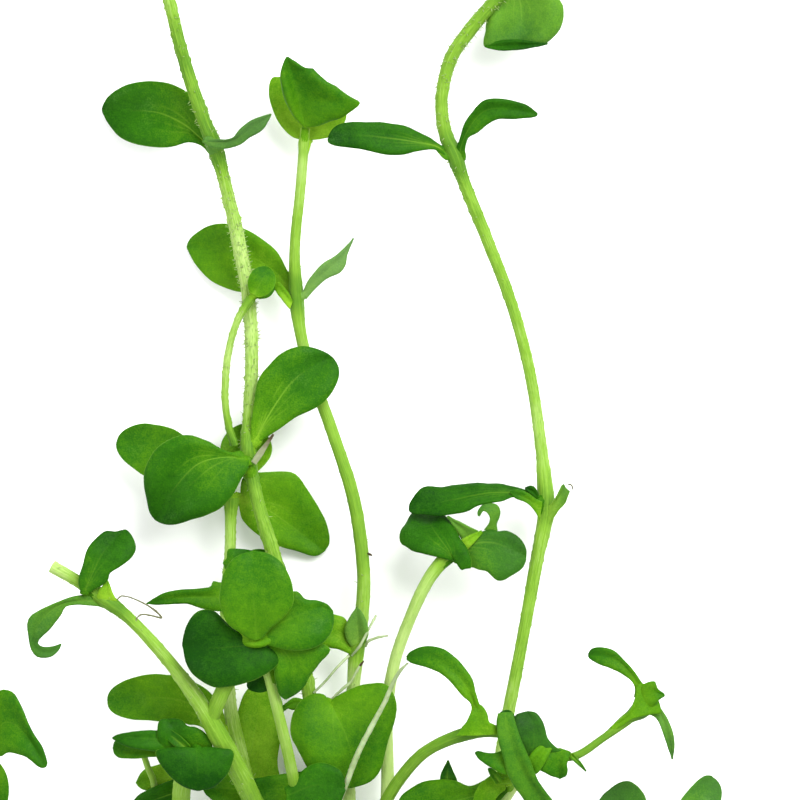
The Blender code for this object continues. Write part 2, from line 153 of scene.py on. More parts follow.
@dataclass
class OutlinedLeaf:
    """A leaf whose midrib, left edge and right edge run as (x, y) points from base to tip.

    heights are the midrib's heights at its base, half way and at its tip. lifts
    are how far the left and right edges stand above the midrib half way, and
    bulge is how far each half arches up between the midrib and the edge. All
    are in millimetres. The rest is as in Leaf.
    """
    name: str
    midrib: list
    left: list
    right: list
    heights: tuple
    lifts: tuple = (0.0, 0.0)
    bulge: float = 0.3
    tones_and_painted_light: tuple = (0.4, 0.4, 0.35)
    veins: float = 0.0
    dusty: float = 0.0
    sheath: bool = True

    def rows(self, shares):
        """Return rows of (layout place, half width) of the blade's middle surface, base to tip."""
        base, middle, tip = self.heights
        rows = []
        for share in shares:
            height = (base * (1 - share) * (1 - 2 * share) + 4 * middle * share * (1 - share)
                      + tip * share * (2 * share - 1))
            swell = math.sin(math.pi * share)
            centre = smooth_route(self.midrib, share).to_3d() + Vector((0, 0, height))
            edges = [smooth_route(route, share).to_3d() + Vector((0, 0, height + lift * swell))
                     for route, lift in zip((self.left, self.right), self.lifts)]
            row = []
            for across in COLUMNS:
                edge = edges[1 if across > 0 else 0]
                arch = 4 * self.bulge * across ** 2 * (1 - across ** 2) * swell
                row.append((centre.lerp(edge, abs(across)) + Vector((0, 0, arch)), (edge - centre).length))
            rows.append(row)
        return rows


@dataclass
class LooseLeaf(OutlinedLeaf):
    """An outlined leaf that starts from no stem, so it has no sheath."""
    sheath: bool = False


# Each stem's tones hold painted light and shade along its route as well as its own colour.
STEMS = [
    Stem("rootstock", [
        (-36, -91, 2.8, 1.3), (-34.4, -91.2, 2.8, 2), (-31, -91.9, 2.9, 2.1), (-26, -92.6, 3.2, 2.8),
        (-20, -92.8, 3.2, 2.4), (-14, -92.9, 3.4, 2.9), (-8, -93, 3.2, 2.4), (-2, -93.1, 3.3, 2.8),
        (4, -93, 3.2, 2.4), (9, -92.9, 3.2, 2.7), (14, -92.6, 3.1, 2.3), (16.6, -92.4, 3, 1.9),
        (18, -92.4, 2.8, 1.3)], tones_and_painted_light=(0.1, 0.25, 0.1), rough=2, slot="rootstock"),
    Stem("left_stem", [
        (-48.6, 91.5, 12.6, 1.1), (-46.1, 80, 12.2, 1.2), (-43.1, 68, 11.9, 1.25),
        (-39.2, 56, 11.2, 1.35), (-36.7, 49.8, 10.7, 1.6), (-35.1, 44, 10, 1.25),
        (-32.3, 32, 8.8, 1.35), (-30.2, 20, 8.5, 1.3), (-29.6, 8, 9, 1.3),
        (-29.9, -2, 9.8, 1.3), (-30.3, -10.6, 11.4, 1.6), (-28.8, -18.5, 12, 1.25),
        (-25.5, -30, 12.4, 1.4), (-21.6, -42, 11.6, 1.4), (-18.6, -56, 9.4, 1.35),
        (-16, -72, 6.6, 1.4), (-14, -88.7, 4.7, 1.45)],
         tones_and_painted_light=(0.96, 0.38, 0.66, 0.96, 0.77, 0.55, 0.7, 0.66, 0.55), rough=1.5,
         hairs=(0.1, 0.15, 0.5, 1.3, 0.3, 0.1, 0.15, 0.05, 0.05)),
    Stem("side_shoot", [
        (-33, -9, 12.6, 0.8), (-34.3, -4.5, 13, 0.7), (-34.9, 1, 13.1, 0.7),
        (-34.3, 9, 12.8, 0.7), (-32.5, 15.6, 12.4, 0.7), (-29.9, 20.2, 12, 0.85)],
         tones_and_painted_light=(0.42, 0.85, 0.75), rough=1.2, hairs=(0.05, 0.02)),
    Stem("back_stem", [
        (-33.7, -19.6, 9.4, 1.5), (-33.8, -24, 9.2, 1.1), (-33.9, -30, 9, 1.1),
        (-34.6, -40, 9, 1.2), (-34.7, -50, 9, 1.25), (-33.9, -61, 9.3, 1.3),
        (-32.8, -67.4, 9.2, 1.6), (-30.9, -74, 8.4, 1.3), (-28.6, -80.4, 6.8, 1.35),
        (-26.4, -88.8, 4.8, 1.4)], tones_and_painted_light=(0.74, 1, 0.72), rough=1.2, hairs=(0.05, 0.05)),
    Stem("middle_stem", [
        (-18.9, 54.2, 9.6, 0.95), (-19.9, 42, 9.2, 1.0), (-21, 30, 8.6, 1.05),
        (-20.6, 19.6, 8, 1.45), (-19.7, 12.6, 7.8, 1.15), (-17.6, 5, 7.6, 1.15),
        (-13.5, -6.4, 7.6, 1.2), (-9.2, -20, 7.9, 1.3), (-7.3, -34, 8.5, 1.3),
        (-7.6, -43, 9, 1.35), (-8.5, -48.6, 9.2, 1.6), (-9.4, -58, 8.2, 1.25),
        (-10.4, -72, 6.2, 1.3), (-9.6, -88.9, 4.6, 1.35)],
         tones_and_painted_light=(0.94, 0.62, 0.72, 0.55, 0.53, 0.88, 1, 0.9),
         rough=0.5, hairs=(0, 0.01, 0, 0, 0.02, 0.02, 0)),
    Stem("right_stem", [
        (22.2, 83.2, 12.4, 1.3), (18.4, 79, 12, 1.3), (13.8, 73.6, 11.3, 1.35),
        (10.1, 68, 10.6, 1.3), (8.3, 60, 9.8, 1.2), (9, 53.4, 9.4, 1.35),
        (10.9, 48.8, 9.2, 1.6), (12.7, 43.6, 9, 1.25), (17.4, 32, 8.4, 1.2),
        (22, 20, 7.9, 1.15), (25.6, 7, 7.6, 1.15), (28, -8, 7.9, 1.15),
        (29.2, -21.8, 9, 1.75), (28.7, -25.4, 9, 1.5), (27.5, -31, 9, 1.3), (24.4, -48, 9, 1.2),
        (21.7, -62, 8.4, 1.25), (18.8, -77, 6.6, 1.3), (14, -86, 5.2, 1.35),
        (9, -89, 4.6, 1.35)], tones_and_painted_light=(0.45, 0.6, 0.6, 0.58, 0.73, 0.67, 0.57, 0.9, 0.8), rough=0.9,
         hairs=(0.5, 0.7, 0.3, 0.05, 0.02, 0, 0, 0, 0, 0.02, 0, 0)),
    Stem("curved_stem", [
        (11, -30.2, 13, 1.3), (8.4, -32.2, 13.4, 1.35), (5.3, -36.4, 13.2, 1.25),
        (1.8, -44, 11.8, 1.15), (-1.1, -52.4, 10, 1.15), (-2.6, -62, 8.4, 1.2),
        (-2.5, -76, 6.4, 1.25), (-3, -89, 4.7, 1.3)], tones_and_painted_light=(0.72, 1, 1.15, 1.2), rough=0.4),
    Stem("front_left_stem", [
        (-69.2, -33.1, 24, 1.25), (-64.4, -35.8, 24.6, 1.2), (-59, -39.4, 25, 1.6),
        (-53.6, -43.6, 25.8, 1.15), (-46.2, -51.6, 26.8, 1.25), (-40.2, -59.6, 27, 1.6),
        (-36, -66.8, 25, 1.95), (-31.8, -74.6, 19, 2.0), (-28.4, -81.4, 12.4, 1.95),
        (-22.4, -88.6, 6.4, 1.7)], tones_and_painted_light=(0.92, 0.6, 0.72, 0.62, 0.5, 0.5), rough=0.8, hairs=(0.04, 0.04)),
    Stem("front_fork", [
        (-38.3, -64.8, 25.2, 1.6), (-36.4, -60.6, 27.8, 1.5), (-35, -57.4, 29.4, 1.5),
        (-32.6, -53.2, 30, 1.45)], tones_and_painted_light=(0.6, 0.6, 0.5), rough=0.6),
    Stem("front_thin_stem", [
        (-26.3, -53.6, 28.2, 1.05), (-25, -59, 26.6, 1.05), (-22.8, -68, 22, 1.1),
        (-21.1, -76, 16.2, 1.15), (-19.8, -83, 10.4, 1.2), (-18.6, -89, 6.2, 1.3)],
         tones_and_painted_light=(0.78, 0.72, 0.66), rough=0.3),
    Stem("trailing_stem", [
        (-6, -89.3, 6.2, 1.35), (-3.8, -82.2, 10.4, 1.25), (0.2, -75.2, 15.8, 1.2),
        (5.8, -69.5, 20.6, 1.15), (15, -65.9, 24, 1.4), (20.6, -66.2, 24.2, 1.2),
        (26.4, -69, 24.4, 1.5), (33.8, -71, 24, 0.8), (40.6, -67.1, 22.8, 0.75),
        (45.4, -63.3, 22, 1.2), (47.6, -61.8, 21.6, 1.8), (49.6, -60.4, 21, 2)],
         tones_and_painted_light=(0.5, 0.5, 0.45, 0.42, 0.45), rough=0.3),
    Stem("far_left_stem", [
        (-37.8, -91.2, 3.6, 1.25), (-49, -94.2, 5, 1.2), (-62, -95, 8.4, 1.15),
        (-75, -91, 12, 1.1), (-83, -80, 15, 1.1), (-82.8, -69.6, 16.8, 1.35)], tones_and_painted_light=(0.6, 0.6, 0.6)),
    Stem("low_right_stem", [
        (19, -92.3, 3.8, 1.25), (29, -93.4, 5.2, 1.2), (41, -91.8, 7.6, 1.15),
        (50.4, -87.4, 9.4, 1.35)], tones_and_painted_light=(0.6, 0.6, 0.6)),
    Stem("low_left_stem", [
        (-41.6, -71, 23.6, 1.45), (-43.4, -77, 18.4, 1.8), (-43, -83.6, 11.2, 1.8),
        (-38.8, -87.8, 7, 1.6)], tones_and_painted_light=(0.65, 0.65, 0.6), rough=0.4),
    Stem("front_right_stem", [
        (25.4, -72.4, 21.6, 0.95), (22.6, -77, 17.4, 1.0), (18.4, -83.4, 11, 1.05),
        (15, -89.4, 6.8, 1.1)], tones_and_painted_light=(1.5, 1.6, 1.5), rough=0.4),
]

# Each leaf's tones hold painted light and shade as well as its green, and dusty paints a grey sheen.
LEAVES = [
    Leaf("left_stem_leaf_e", [(-30.6, -15, 9.2), (-30.8, -10, 6.6), (-31, -4.8, 5.4)],
         (5.2, 0.45, 0.5), (5.4, 0.5, 0.5), tones_and_painted_light=(0.68, 0.68, 0.68)),
    Leaf("side_shoot_leaf", [(-29.2, 20.9, 13), (-27.8, 23.4, 13.4), (-26.2, 26.1, 12.6)],
         (2.7, 0.5, 0.5), (2.8, 0.5, 0.5), cup=30, stalk=(0.6, 0.6), tones_and_painted_light=(0.5, 0.5, 0.45), veins=0.3),
    Leaf("back_stem_leaf_a", [(-35, -18.6, 9.4), (-41.6, -14.6, 8.4), (-49, -10.4, 6.8), (-56.6, -8.2, 5)],
         (5.4, 0.6, 0.5), (5.8, 0.55, 0.45), tones_and_painted_light=(0.5, 0.42, 0.42)),
    Leaf("back_stem_leaf_d",
         [(-35.6, -66, 10), (-39.6, -61.6, 11), (-46.6, -59.4, 11.4), (-58.4, -60.2, 9.6)],
         (4.8, 0.55, 0.42), (4.9, 0.55, 0.42), tones_and_painted_light=(0.55, 0.6, 0.55)),
    Leaf("back_stem_leaf_f", [(-32, -36, 11), (-30, -33.8, 10.8), (-26.4, -33.4, 9.6), (-23, -36, 8.4)],
         (3.6, 0.3, 0.5), (3.6, 0.5, 0.5), tones_and_painted_light=(0.35, 0.35, 0.35), veins=0.3),
    Leaf("far_left_leaf_b", [(-81.6, -71.6, 18.8), (-80.6, -76.6, 19), (-80.6, -82.6, 17)],
         (2.8, 0.5, 0.5), (3, 0.5, 0.5), tones_and_painted_light=(0.42, 0.42, 0.4), veins=0.1),
    Leaf("low_right_leaf_a", [(48.6, -86, 10.6), (45.2, -82, 9), (41.8, -77.9, 6)],
         (5.4, 0.6, 0.42), (5.2, 0.6, 0.42), tones_and_painted_light=(0.3, 0.3, 0.25), veins=0.3, dusty=0.1),
    Leaf("low_right_leaf_b", [(52.2, -86.4, 10), (57, -83.4, 7), (62.6, -75.4, 1.8)],
         (3.2, 0.7, 0.5), (4.4, 0.6, 0.42), tones_and_painted_light=(0.4, 0.4, 0.35), veins=0.3, dusty=0.1),
    Leaf("front_right_leaf_b", [(20.8, -76.2, 20.6), (18, -77.6, 20.6), (15.6, -82, 18.6)],
         (2.0, 0.4, 0.5), (2.4, 0.4, 0.5), tones_and_painted_light=(0.62, 0.62, 0.6), veins=0.2),
]

# Each leaf's tones hold painted light and shade as well as its green, and dusty paints a grey sheen.
OUTLINED_LEAVES = [
    OutlinedLeaf("middle_stem_leaf_a",
        [(-18.9, 54.6), (-19.7, 57.4), (-20.5, 61.4), (-21.7, 65.4), (-22.5, 68.4)],
        [(-19.5, 54.8), (-21.3, 56.8), (-22.6, 59.2), (-23.6, 61.8), (-24.1, 64.4), (-23.5, 66.6),
         (-22.5, 68.4)],
        [(-18.3, 54.4), (-16.7, 54.6), (-13.8, 55.6), (-10.6, 57), (-7.8, 59.2), (-10, 60.6), (-13.2, 63),
         (-14.1, 63.2), (-16.5, 65.2), (-17.3, 66), (-18.5, 66), (-19.3, 66.4), (-20.9, 67.4), (-22.5, 68.4)],
        heights=(11.6, 14.2, 16.4), lifts=(0.6, 1.4), bulge=1.2, tones_and_painted_light=(0.46, 0.4, 0.4), veins=0.1),
    OutlinedLeaf("middle_stem_leaf_b",
        [(-18.6, 51.9), (-18.6, 55.9), (-19, 59.9), (-20.4, 65.1)],
        [(-20, 52.1), (-21.2, 52.3), (-22.8, 53.5), (-24.2, 55.3), (-25.2, 57.3), (-26, 59.9), (-26.2, 61.7),
         (-26, 63.5), (-25.4, 64.5), (-24, 64.5), (-22, 65.1), (-20.4, 65.1)],
        [(-17.4, 51.9), (-15.4, 52.1), (-13.4, 52.7), (-11.4, 54.7), (-10.6, 56.5), (-11, 58.7), (-13, 60.9),
         (-16, 62.9), (-18.4, 64.3), (-20.4, 65.1)],
        heights=(7.4, 6, 7.4), lifts=(1.6, 1.6), bulge=0.6, tones_and_painted_light=(0.76, 0.8, 0.72)),
    OutlinedLeaf("right_stem_leaf_d",
        [(27.1, -20.1), (25.3, -18.9), (23.5, -18.7), (19.9, -18.5), (15.9, -18.9), (12, -19.7), (8, -20.5),
         (4, -21.5), (1.8, -22.1)],
        [(27.1, -21.3), (25.3, -20.3), (23.9, -19.7), (22.5, -19.4), (20.5, -20.3), (17.9, -20.6),
         (15.2, -21.1), (13.4, -22.1), (11, -22.7), (8, -23.2), (5, -22.9), (2.6, -22.7), (1.8, -22.1)],
        [(27.3, -19.5), (25.9, -18.3), (24.3, -17.7), (21.9, -17), (19.9, -16.6), (17.5, -16.7), (15, -16.4),
         (10.4, -17.1), (8.4, -17.4), (6, -17.1), (4.4, -17.5), (2.8, -19.1), (1.8, -20.7), (1.8, -22.1)],
        heights=(10.9, 12.8, 12.4), lifts=(1.6, -2.2), bulge=0.5, tones_and_painted_light=(0.18, 0.12, 0.14), veins=0.4),
    OutlinedLeaf("curved_stem_leaf_a",
        [(11.2, -32.1), (9.4, -29.5), (7.4, -26.9), (5.6, -23.9), (4.8, -21.1)],
        [(10, -31.9), (7.4, -31.3), (4.2, -30.5), (2.2, -29.9), (1.4, -29.3), (0.2, -28.7), (-0.2, -27.5),
         (0, -25.9), (1, -24.3), (2.2, -22.5), (3.6, -21.3), (4.8, -20.9)],
        [(11.6, -32.1), (12.6, -33.1), (12.2, -33.9), (13.2, -33.6), (14.1, -33.5), (14.3, -32.3),
         (14, -31.1), (13.4, -29.3), (12.2, -27.5), (10.6, -24.9), (9.4, -23.3), (7.2, -21.5), (4.8, -20.9)],
        heights=(15, 14.2, 6.4), lifts=(-0.6, 0.8), bulge=0.6, tones_and_painted_light=(0.18, 0.2, 0.2), veins=0.3),
    OutlinedLeaf("curved_stem_leaf_b",
        [(11.2, -29.7), (15.1, -28.5), (18.9, -28.5), (21.9, -29.7), (24.1, -30.7), (25.1, -31.1)],
        [(11.6, -28.1), (14.3, -27.1), (16.7, -26.1), (18.3, -25.7), (19.5, -26), (21.3, -25.9),
         (22.9, -26.7), (24.3, -28.1), (25.1, -29.9), (25.1, -31.1)],
        [(11.2, -31.9), (12.8, -33.5), (14.3, -33.4), (15.7, -33.9), (17.1, -34.1), (17.7, -34.5),
         (19.1, -35.9), (19.9, -36.1), (20.9, -35.9), (22.1, -35.1), (24.1, -33.7), (24.9, -32.3),
         (25.1, -31.1)],
        heights=(12.8, 14, 12.6), lifts=(-0.8, 0.4), bulge=0.5,
        tones_and_painted_light=(0.14, 0.36, 0.28), veins=0.4, dusty=0.05),
    OutlinedLeaf("heart_leaf",
        [(-14, -60.2), (-12.4, -63.4), (-10.8, -66.8), (-9.8, -70.2), (-9.4, -73.7), (-10, -77.3)],
        [(-13.4, -59.8), (-11, -58.2), (-8, -56.7), (-6, -56.4), (-4.2, -56.3), (-2.8, -56.6), (-1.8, -57.8),
         (-1, -59.4), (-0.7, -61.2), (-1, -63.8), (-1.6, -66), (-2.4, -68.8), (-3.2, -71.2), (-3.8, -73.3),
         (-4.8, -74.9), (-6.8, -76.5), (-8.4, -77.1), (-10, -77.4)],
        [(-14.6, -59.6), (-15.5, -58.7), (-16.9, -58.5), (-18.5, -59), (-19.9, -60), (-21.1, -62),
         (-21.7, -64.2), (-21.8, -65.8), (-21.5, -67.4), (-20.7, -69), (-19.7, -71), (-18.3, -73.7),
         (-16.3, -76.1), (-13, -77.3), (-10, -77.4)],
        heights=(12.2, 13.6, 11.4), lifts=(0.6, 0.9), bulge=1, tones_and_painted_light=(0.48, 0.42, 0.48), veins=0.3),
    OutlinedLeaf("low_left_leaf",
        [(-40.5, -69.1), (-40.3, -71.5), (-40.1, -74.5), (-40.1, -77.6)],
        [(-38.7, -69.1), (-35.8, -69.2), (-33.6, -69.3), (-32.9, -70.3), (-33.2, -71.9), (-34, -73.9),
         (-35.4, -75.7), (-36.9, -76.9), (-38.7, -77.5), (-40.1, -77.6)],
        [(-42.5, -69.1), (-45.7, -69.2), (-48.1, -69.3), (-48.7, -69.9), (-48.3, -71.1), (-47.1, -73.1),
         (-45.3, -75.1), (-43.3, -76.7), (-41.3, -77.5), (-40.1, -77.6)],
        heights=(26.4, 27.6, 26), lifts=(-0.6, -0.6), bulge=0.4, tones_and_painted_light=(0.1, 0.08, 0.1), veins=0.05),
    OutlinedLeaf("trailing_stem_leaf_b",
        [(23, -71.1), (21.9, -67.5), (21.3, -64.4), (20.9, -61.7)],
        [(20.7, -71.5), (19.7, -67.9), (19.2, -65.2), (19.3, -63), (20, -62), (20.9, -61.6)],
        [(25.2, -71.1), (23.8, -67.5), (23.2, -64.8), (22.8, -62.6), (21.9, -61.7), (20.9, -61.6)],
        heights=(25.8, 26.8, 26.2), lifts=(0.3, 0.3), bulge=0.4, tones_and_painted_light=(0.36, 0.2, 0.26), veins=0.1),
    OutlinedLeaf("trailing_stem_leaf_c",
        [(26.2, -70.9), (26.6, -67.5), (26.4, -64.4), (25.2, -62)],
        [(22.2, -71.1), (22, -67.1), (22.2, -64), (23, -62.4), (24, -62), (25.2, -61.8)],
        [(33, -69.7), (31.2, -69.1), (29.6, -67.3), (29, -65.3), (28.2, -63.4), (27.2, -62.2), (26.2, -61.8),
         (25.2, -61.8)],
        heights=(26.2, 27.6, 26.4), lifts=(0.2, -0.6), bulge=0.5,
        tones_and_painted_light=(0.08, 0.16, 0.14), veins=0.1, dusty=0.04),
    LooseLeaf("trailing_stem_leaf_d",
        [(24.2, -71.5), (19.9, -71.3), (17.3, -70.9), (14.9, -70.1)],
        [(24.6, -74.7), (20.9, -74.3), (18.3, -73.2), (16.9, -72.3), (15.5, -71.2), (14.9, -70.2)],
        [(22.2, -68.7), (20.3, -69.5), (18.9, -69.9), (16.9, -69.9), (15.5, -69.7), (14.9, -70)],
        heights=(26.4, 26.8, 26), lifts=(0.4, -0.4), tones_and_painted_light=(0.36, 0.4, 0.36), veins=0.1),
    LooseLeaf("trailing_stem_leaf_e",
        [(20.9, -62), (21.3, -65.6), (22.4, -69.5), (24.2, -73.5), (26.4, -77.1), (28.8, -81.1),
         (31.8, -85.8)],
        [(22.4, -62), (23.4, -65.6), (24.6, -69.1), (26, -72.3), (27.2, -75.3), (28.4, -76.9), (30.4, -79.5),
         (32.2, -82.4), (32, -85.6)],
        [(19.4, -62.2), (19.3, -65.6), (19.9, -69.5), (21.1, -73.5), (22.4, -76.3), (24, -78.5), (25, -80.1),
         (28, -83.8), (31.4, -85.8)],
        heights=(28.2, 26.8, 18.6), lifts=(0.1, 0.3), bulge=0.5,
        tones_and_painted_light=(0.3, 0.34, 0.56), veins=0.1, dusty=0.04),
    OutlinedLeaf("front_cluster_leaf_a",
        [(-28.5, -47.7), (-28.7, -43.6), (-29.1, -38.6), (-29.3, -33.7), (-29.1, -30)],
        [(-29.7, -47.5), (-31.7, -46), (-34.1, -44.2), (-35.5, -41.6), (-35.9, -39), (-35.5, -35.7),
         (-34.1, -32.7), (-31.7, -30.7), (-29.1, -29.9)],
        [(-27.3, -47.3), (-25.8, -45.2), (-23.2, -43.2), (-21.2, -40.8), (-21, -38), (-21.8, -35.1),
         (-23.6, -32.1), (-26.1, -30.5), (-29.1, -29.9)],
        heights=(34.6, 38, 36.8), lifts=(-0.5, -0.5), bulge=0.6, tones_and_painted_light=(0.42, 0.42, 0.42), veins=0.15),
    LooseLeaf("front_cluster_leaf_b",
        [(-27, -48.6), (-31.7, -48.8), (-36.7, -49.2), (-40.7, -49.2), (-43.2, -48.4)],
        [(-25.4, -49.4), (-24, -50.8), (-24, -52.2), (-25.8, -53.9), (-28.6, -55.5), (-31.1, -56.3),
         (-33.7, -56.9), (-36.5, -57.1), (-38.5, -56.5), (-40.3, -55.1), (-41.8, -53.2), (-42.8, -50.8),
         (-43.2, -48.4)],
        [(-28.2, -47.8), (-30.7, -46.8), (-33.3, -45), (-35.3, -43.2), (-36.9, -41.8), (-38.9, -41.5),
         (-40.7, -42.2), (-42, -43.8), (-42.8, -46), (-43.2, -48.4)],
        heights=(31.6, 33.2, 31.2), lifts=(-0.6, -0.6), bulge=0.8, tones_and_painted_light=(0.06, 0.08, 0.08), veins=0.1),
    OutlinedLeaf("front_cluster_leaf_c",
        [(-26.6, -46), (-22.8, -43.8), (-18.8, -42.2), (-15.5, -41.2), (-13.3, -42)],
        [(-26.2, -44), (-23.8, -40.5), (-21, -37.9), (-19.8, -38.3), (-18.8, -39.3), (-16.3, -39.6),
         (-14.3, -40.5), (-13.3, -42)],
        [(-26.2, -48.6), (-22.8, -49.6), (-18.8, -49.6), (-15.9, -48.6), (-13.9, -46.6), (-13.1, -44),
         (-13.3, -42)],
        heights=(33.4, 34, 31.4), lifts=(-0.5, -0.5), bulge=0.7, tones_and_painted_light=(0.42, 0.34, 0.4), veins=0.15),
    OutlinedLeaf("front_cluster_leaf_d",
        [(-25.8, -47.6), (-22.4, -50.6), (-21.2, -54), (-22.8, -59.5)],
        [(-23.4, -47.2), (-17.9, -47.6), (-13.9, -49.4), (-15.9, -52), (-17.3, -54), (-19.2, -57),
         (-21.4, -58.9), (-22.8, -59.5)],
        [(-26.6, -48.8), (-25.6, -51.6), (-24.8, -54.6), (-24.4, -57.2), (-23.8, -58.9), (-22.8, -59.5)],
        heights=(31, 31.2, 27.6), lifts=(-0.4, -0.4), bulge=0.7, tones_and_painted_light=(0.45, 0.4, 0.4), veins=0.2),
    OutlinedLeaf("middle_stem_leaf_e",
        [(-9.4, -48.9), (-13, -46.7), (-17.6, -45.7)],
        [(-9.2, -51.1), (-10.4, -50.5), (-12.4, -49.7), (-14, -49.5), (-16.4, -48.9), (-17.8, -45.9)],
        [(-9.8, -45.9), (-10.8, -43.5), (-12.6, -42.7), (-15, -42.5), (-17.2, -43.5), (-17.8, -45.9)],
        heights=(9.8, 11, 11.2), lifts=(-0.3, -0.3), bulge=0.4, tones_and_painted_light=(0.62, 0.62, 0.6), veins=0.5),
    OutlinedLeaf("left_stem_leaf_b",
        [(-39.1, 51.4), (-35.9, 51.4), (-32.3, 52.2), (-29.5, 54.2), (-25.7, 57)],
        [(-39.1, 51.6), (-36.9, 51.9), (-34.3, 51.9), (-33.1, 52.4), (-31.9, 54), (-29.9, 55.6),
         (-28.3, 56.2), (-25.7, 57)],
        [(-38.9, 51), (-36.9, 50.1), (-34.3, 50), (-31.9, 50.8), (-29.9, 52.2), (-27.5, 53.8), (-26.5, 55.4),
         (-25.7, 57)],
        heights=(14.6, 15.2, 13.8), lifts=(0.5, -1), bulge=0.2,
        tones_and_painted_light=(0.14, 0.34, 0.3), veins=0.2, dusty=0.2),
    OutlinedLeaf("left_stem_leaf_c",
        [(-28.9, -8.6), (-27.3, -5), (-24.9, -1), (-21.9, 3.2), (-18.9, 5.8), (-15.9, 7.6), (-13.4, 8.4)],
        [(-29.9, -8.2), (-29.7, -4), (-29.1, 0), (-28.1, 4.2), (-25.3, 8), (-22.5, 10), (-19.7, 10.8),
         (-17.3, 10.5), (-15, 9.6), (-13.4, 8.4)],
        [(-27.7, -8.2), (-24.5, -6), (-20.5, -3.4), (-15.9, -1), (-13.6, 1.4), (-12.1, 4.6), (-12.2, 6.6),
         (-13.4, 8.4)],
        heights=(12.2, 12.8, 11.2), lifts=(0.4, 0.6), bulge=0.6, tones_and_painted_light=(0.48, 0.38, 0.28), veins=1),
    OutlinedLeaf("left_stem_leaf_d",
        [(-30.5, -12.1), (-33.5, -11.4), (-37.8, -11.8), (-40.8, -13.1), (-44.2, -16.7), (-46.8, -20.5),
         (-48.8, -23.8)],
        [(-30.1, -11.8), (-30.2, -13.7), (-31.3, -15.5), (-33.3, -18.9), (-35.7, -21.5), (-38.4, -22.9),
         (-41.8, -24), (-44.8, -24.8), (-47.2, -24.6), (-48.8, -23.8)],
        [(-31.1, -10.4), (-31.9, -10), (-33.7, -10.4), (-35.9, -9.6), (-38, -8.3), (-41.2, -7.2),
         (-44.2, -7.3), (-46.8, -8.4), (-49.2, -10.4), (-50.8, -13.3), (-51.2, -16.1), (-50.8, -19.1),
         (-50, -22.2), (-48.8, -23.8)],
        heights=(14.9, 16.4, 12.8), lifts=(0.5, 0.3), bulge=0.9, tones_and_painted_light=(0.3, 0.34, 0.22), veins=0.7),
    OutlinedLeaf("middle_stem_leaf_d",
        [(-19.3, 20.7), (-17, 23.5), (-14, 26.3), (-11.6, 28.7), (-9.2, 32.3)],
        [(-19.5, 21.5), (-18.5, 23.7), (-17.4, 25.1), (-15, 27.5), (-13.4, 28.5), (-11.8, 29.7),
         (-9.2, 32.3)],
        [(-18.7, 20.1), (-17, 21.9), (-14.4, 24.3), (-12, 25.5), (-11, 26.9), (-10.6, 28.9), (-9.2, 32.3)],
        heights=(9, 11, 10.6), lifts=(0.5, -0.6), bulge=0.2, tones_and_painted_light=(0.5, 0.5, 0.4), veins=0.2, dusty=0.4),
    OutlinedLeaf("right_stem_leaf_a",
        [(22.8, 83.4), (23.9, 79.8), (24.3, 75.4), (23.7, 70.4)],
        [(25.9, 82.6), (30.3, 81.4), (32.5, 79), (32.7, 76.4), (31.9, 73.8), (29.7, 71.4), (27.5, 70.5),
         (23.7, 70.2)],
        [(19.4, 83), (17.6, 81), (17.2, 77.8), (17, 73.8), (16.8, 70.6), (19, 70.1), (21, 70), (23.7, 70.2)],
        heights=(9.8, 8.6, 9), lifts=(1, 1.6), bulge=1.4, tones_and_painted_light=(0.48, 0.48, 0.44), veins=0.6, dusty=0.1),
    OutlinedLeaf("back_stem_leaf_b",
        [(-32, -19.8), (-27.6, -21.2), (-22, -25), (-15, -30.2)],
        [(-31.8, -18), (-31.4, -15.6), (-30, -14.7), (-27.6, -14.4), (-22, -14.4), (-20.4, -15.3), (-19, -17),
         (-17.4, -19.4), (-16, -21.6), (-14.4, -25.6), (-14.1, -28.6), (-15, -30.2)],
        [(-32.2, -21.2), (-31.4, -24), (-28.4, -26.8), (-24.6, -29.1), (-20.6, -30.3), (-18, -31.1),
         (-16.4, -31.1), (-15, -30.2)],
        heights=(8.4, 3.8, 1.6), lifts=(0.5, 0.6), bulge=0.5, tones_and_painted_light=(0.55, 0.55, 0.55), veins=0.7),
    OutlinedLeaf("back_stem_leaf_c",
        [(-33.5, -39.5), (-36.9, -39.3), (-41.9, -39.3), (-46.9, -39.9), (-50.6, -40.6)],
        [(-33.5, -42.3), (-36.9, -42.1), (-39.5, -41.6), (-41.9, -40.8), (-43.9, -40.6), (-46.9, -40.7),
         (-48.9, -40.8), (-50.6, -40.6)],
        [(-33.5, -36.3), (-36.1, -36.3), (-37.3, -36.1), (-37.7, -37.2), (-39.3, -37.6), (-43.9, -37.9),
         (-46.9, -38.5), (-48.9, -39.5), (-50.6, -40.5)],
        heights=(10.6, 12.2, 12), lifts=(0.1, 0.1), tones_and_painted_light=(0.38, 0.38, 0.38), veins=0.3),
    OutlinedLeaf("front_left_leaf_a",
        [(-62.8, -38.5), (-61.4, -35.2), (-59, -30.4), (-55.2, -26.2)],
        [(-63.4, -38.3), (-63.9, -36.5), (-63.7, -34.8), (-62.9, -32.4), (-62, -29.4), (-60.3, -27.4),
         (-58.6, -26), (-56.6, -26.1), (-55.2, -25.8)],
        [(-61.6, -38.3), (-60.2, -37.3), (-59, -36.7), (-58, -35.7), (-57.6, -34.4), (-55.3, -33.1),
         (-53, -31.1), (-52.3, -29.2), (-53.2, -26.9), (-54.4, -25.7), (-55.2, -25.8)],
        heights=(27, 28, 25.8), lifts=(-0.3, 0.4), bulge=0.4, tones_and_painted_light=(0.22, 0.26, 0.2), veins=0.25),
    OutlinedLeaf("front_left_leaf_b",
        [(-58, -40.3), (-61.6, -39.9), (-64.6, -39.9), (-67.2, -40.5), (-69.6, -42.1), (-71.5, -44.1),
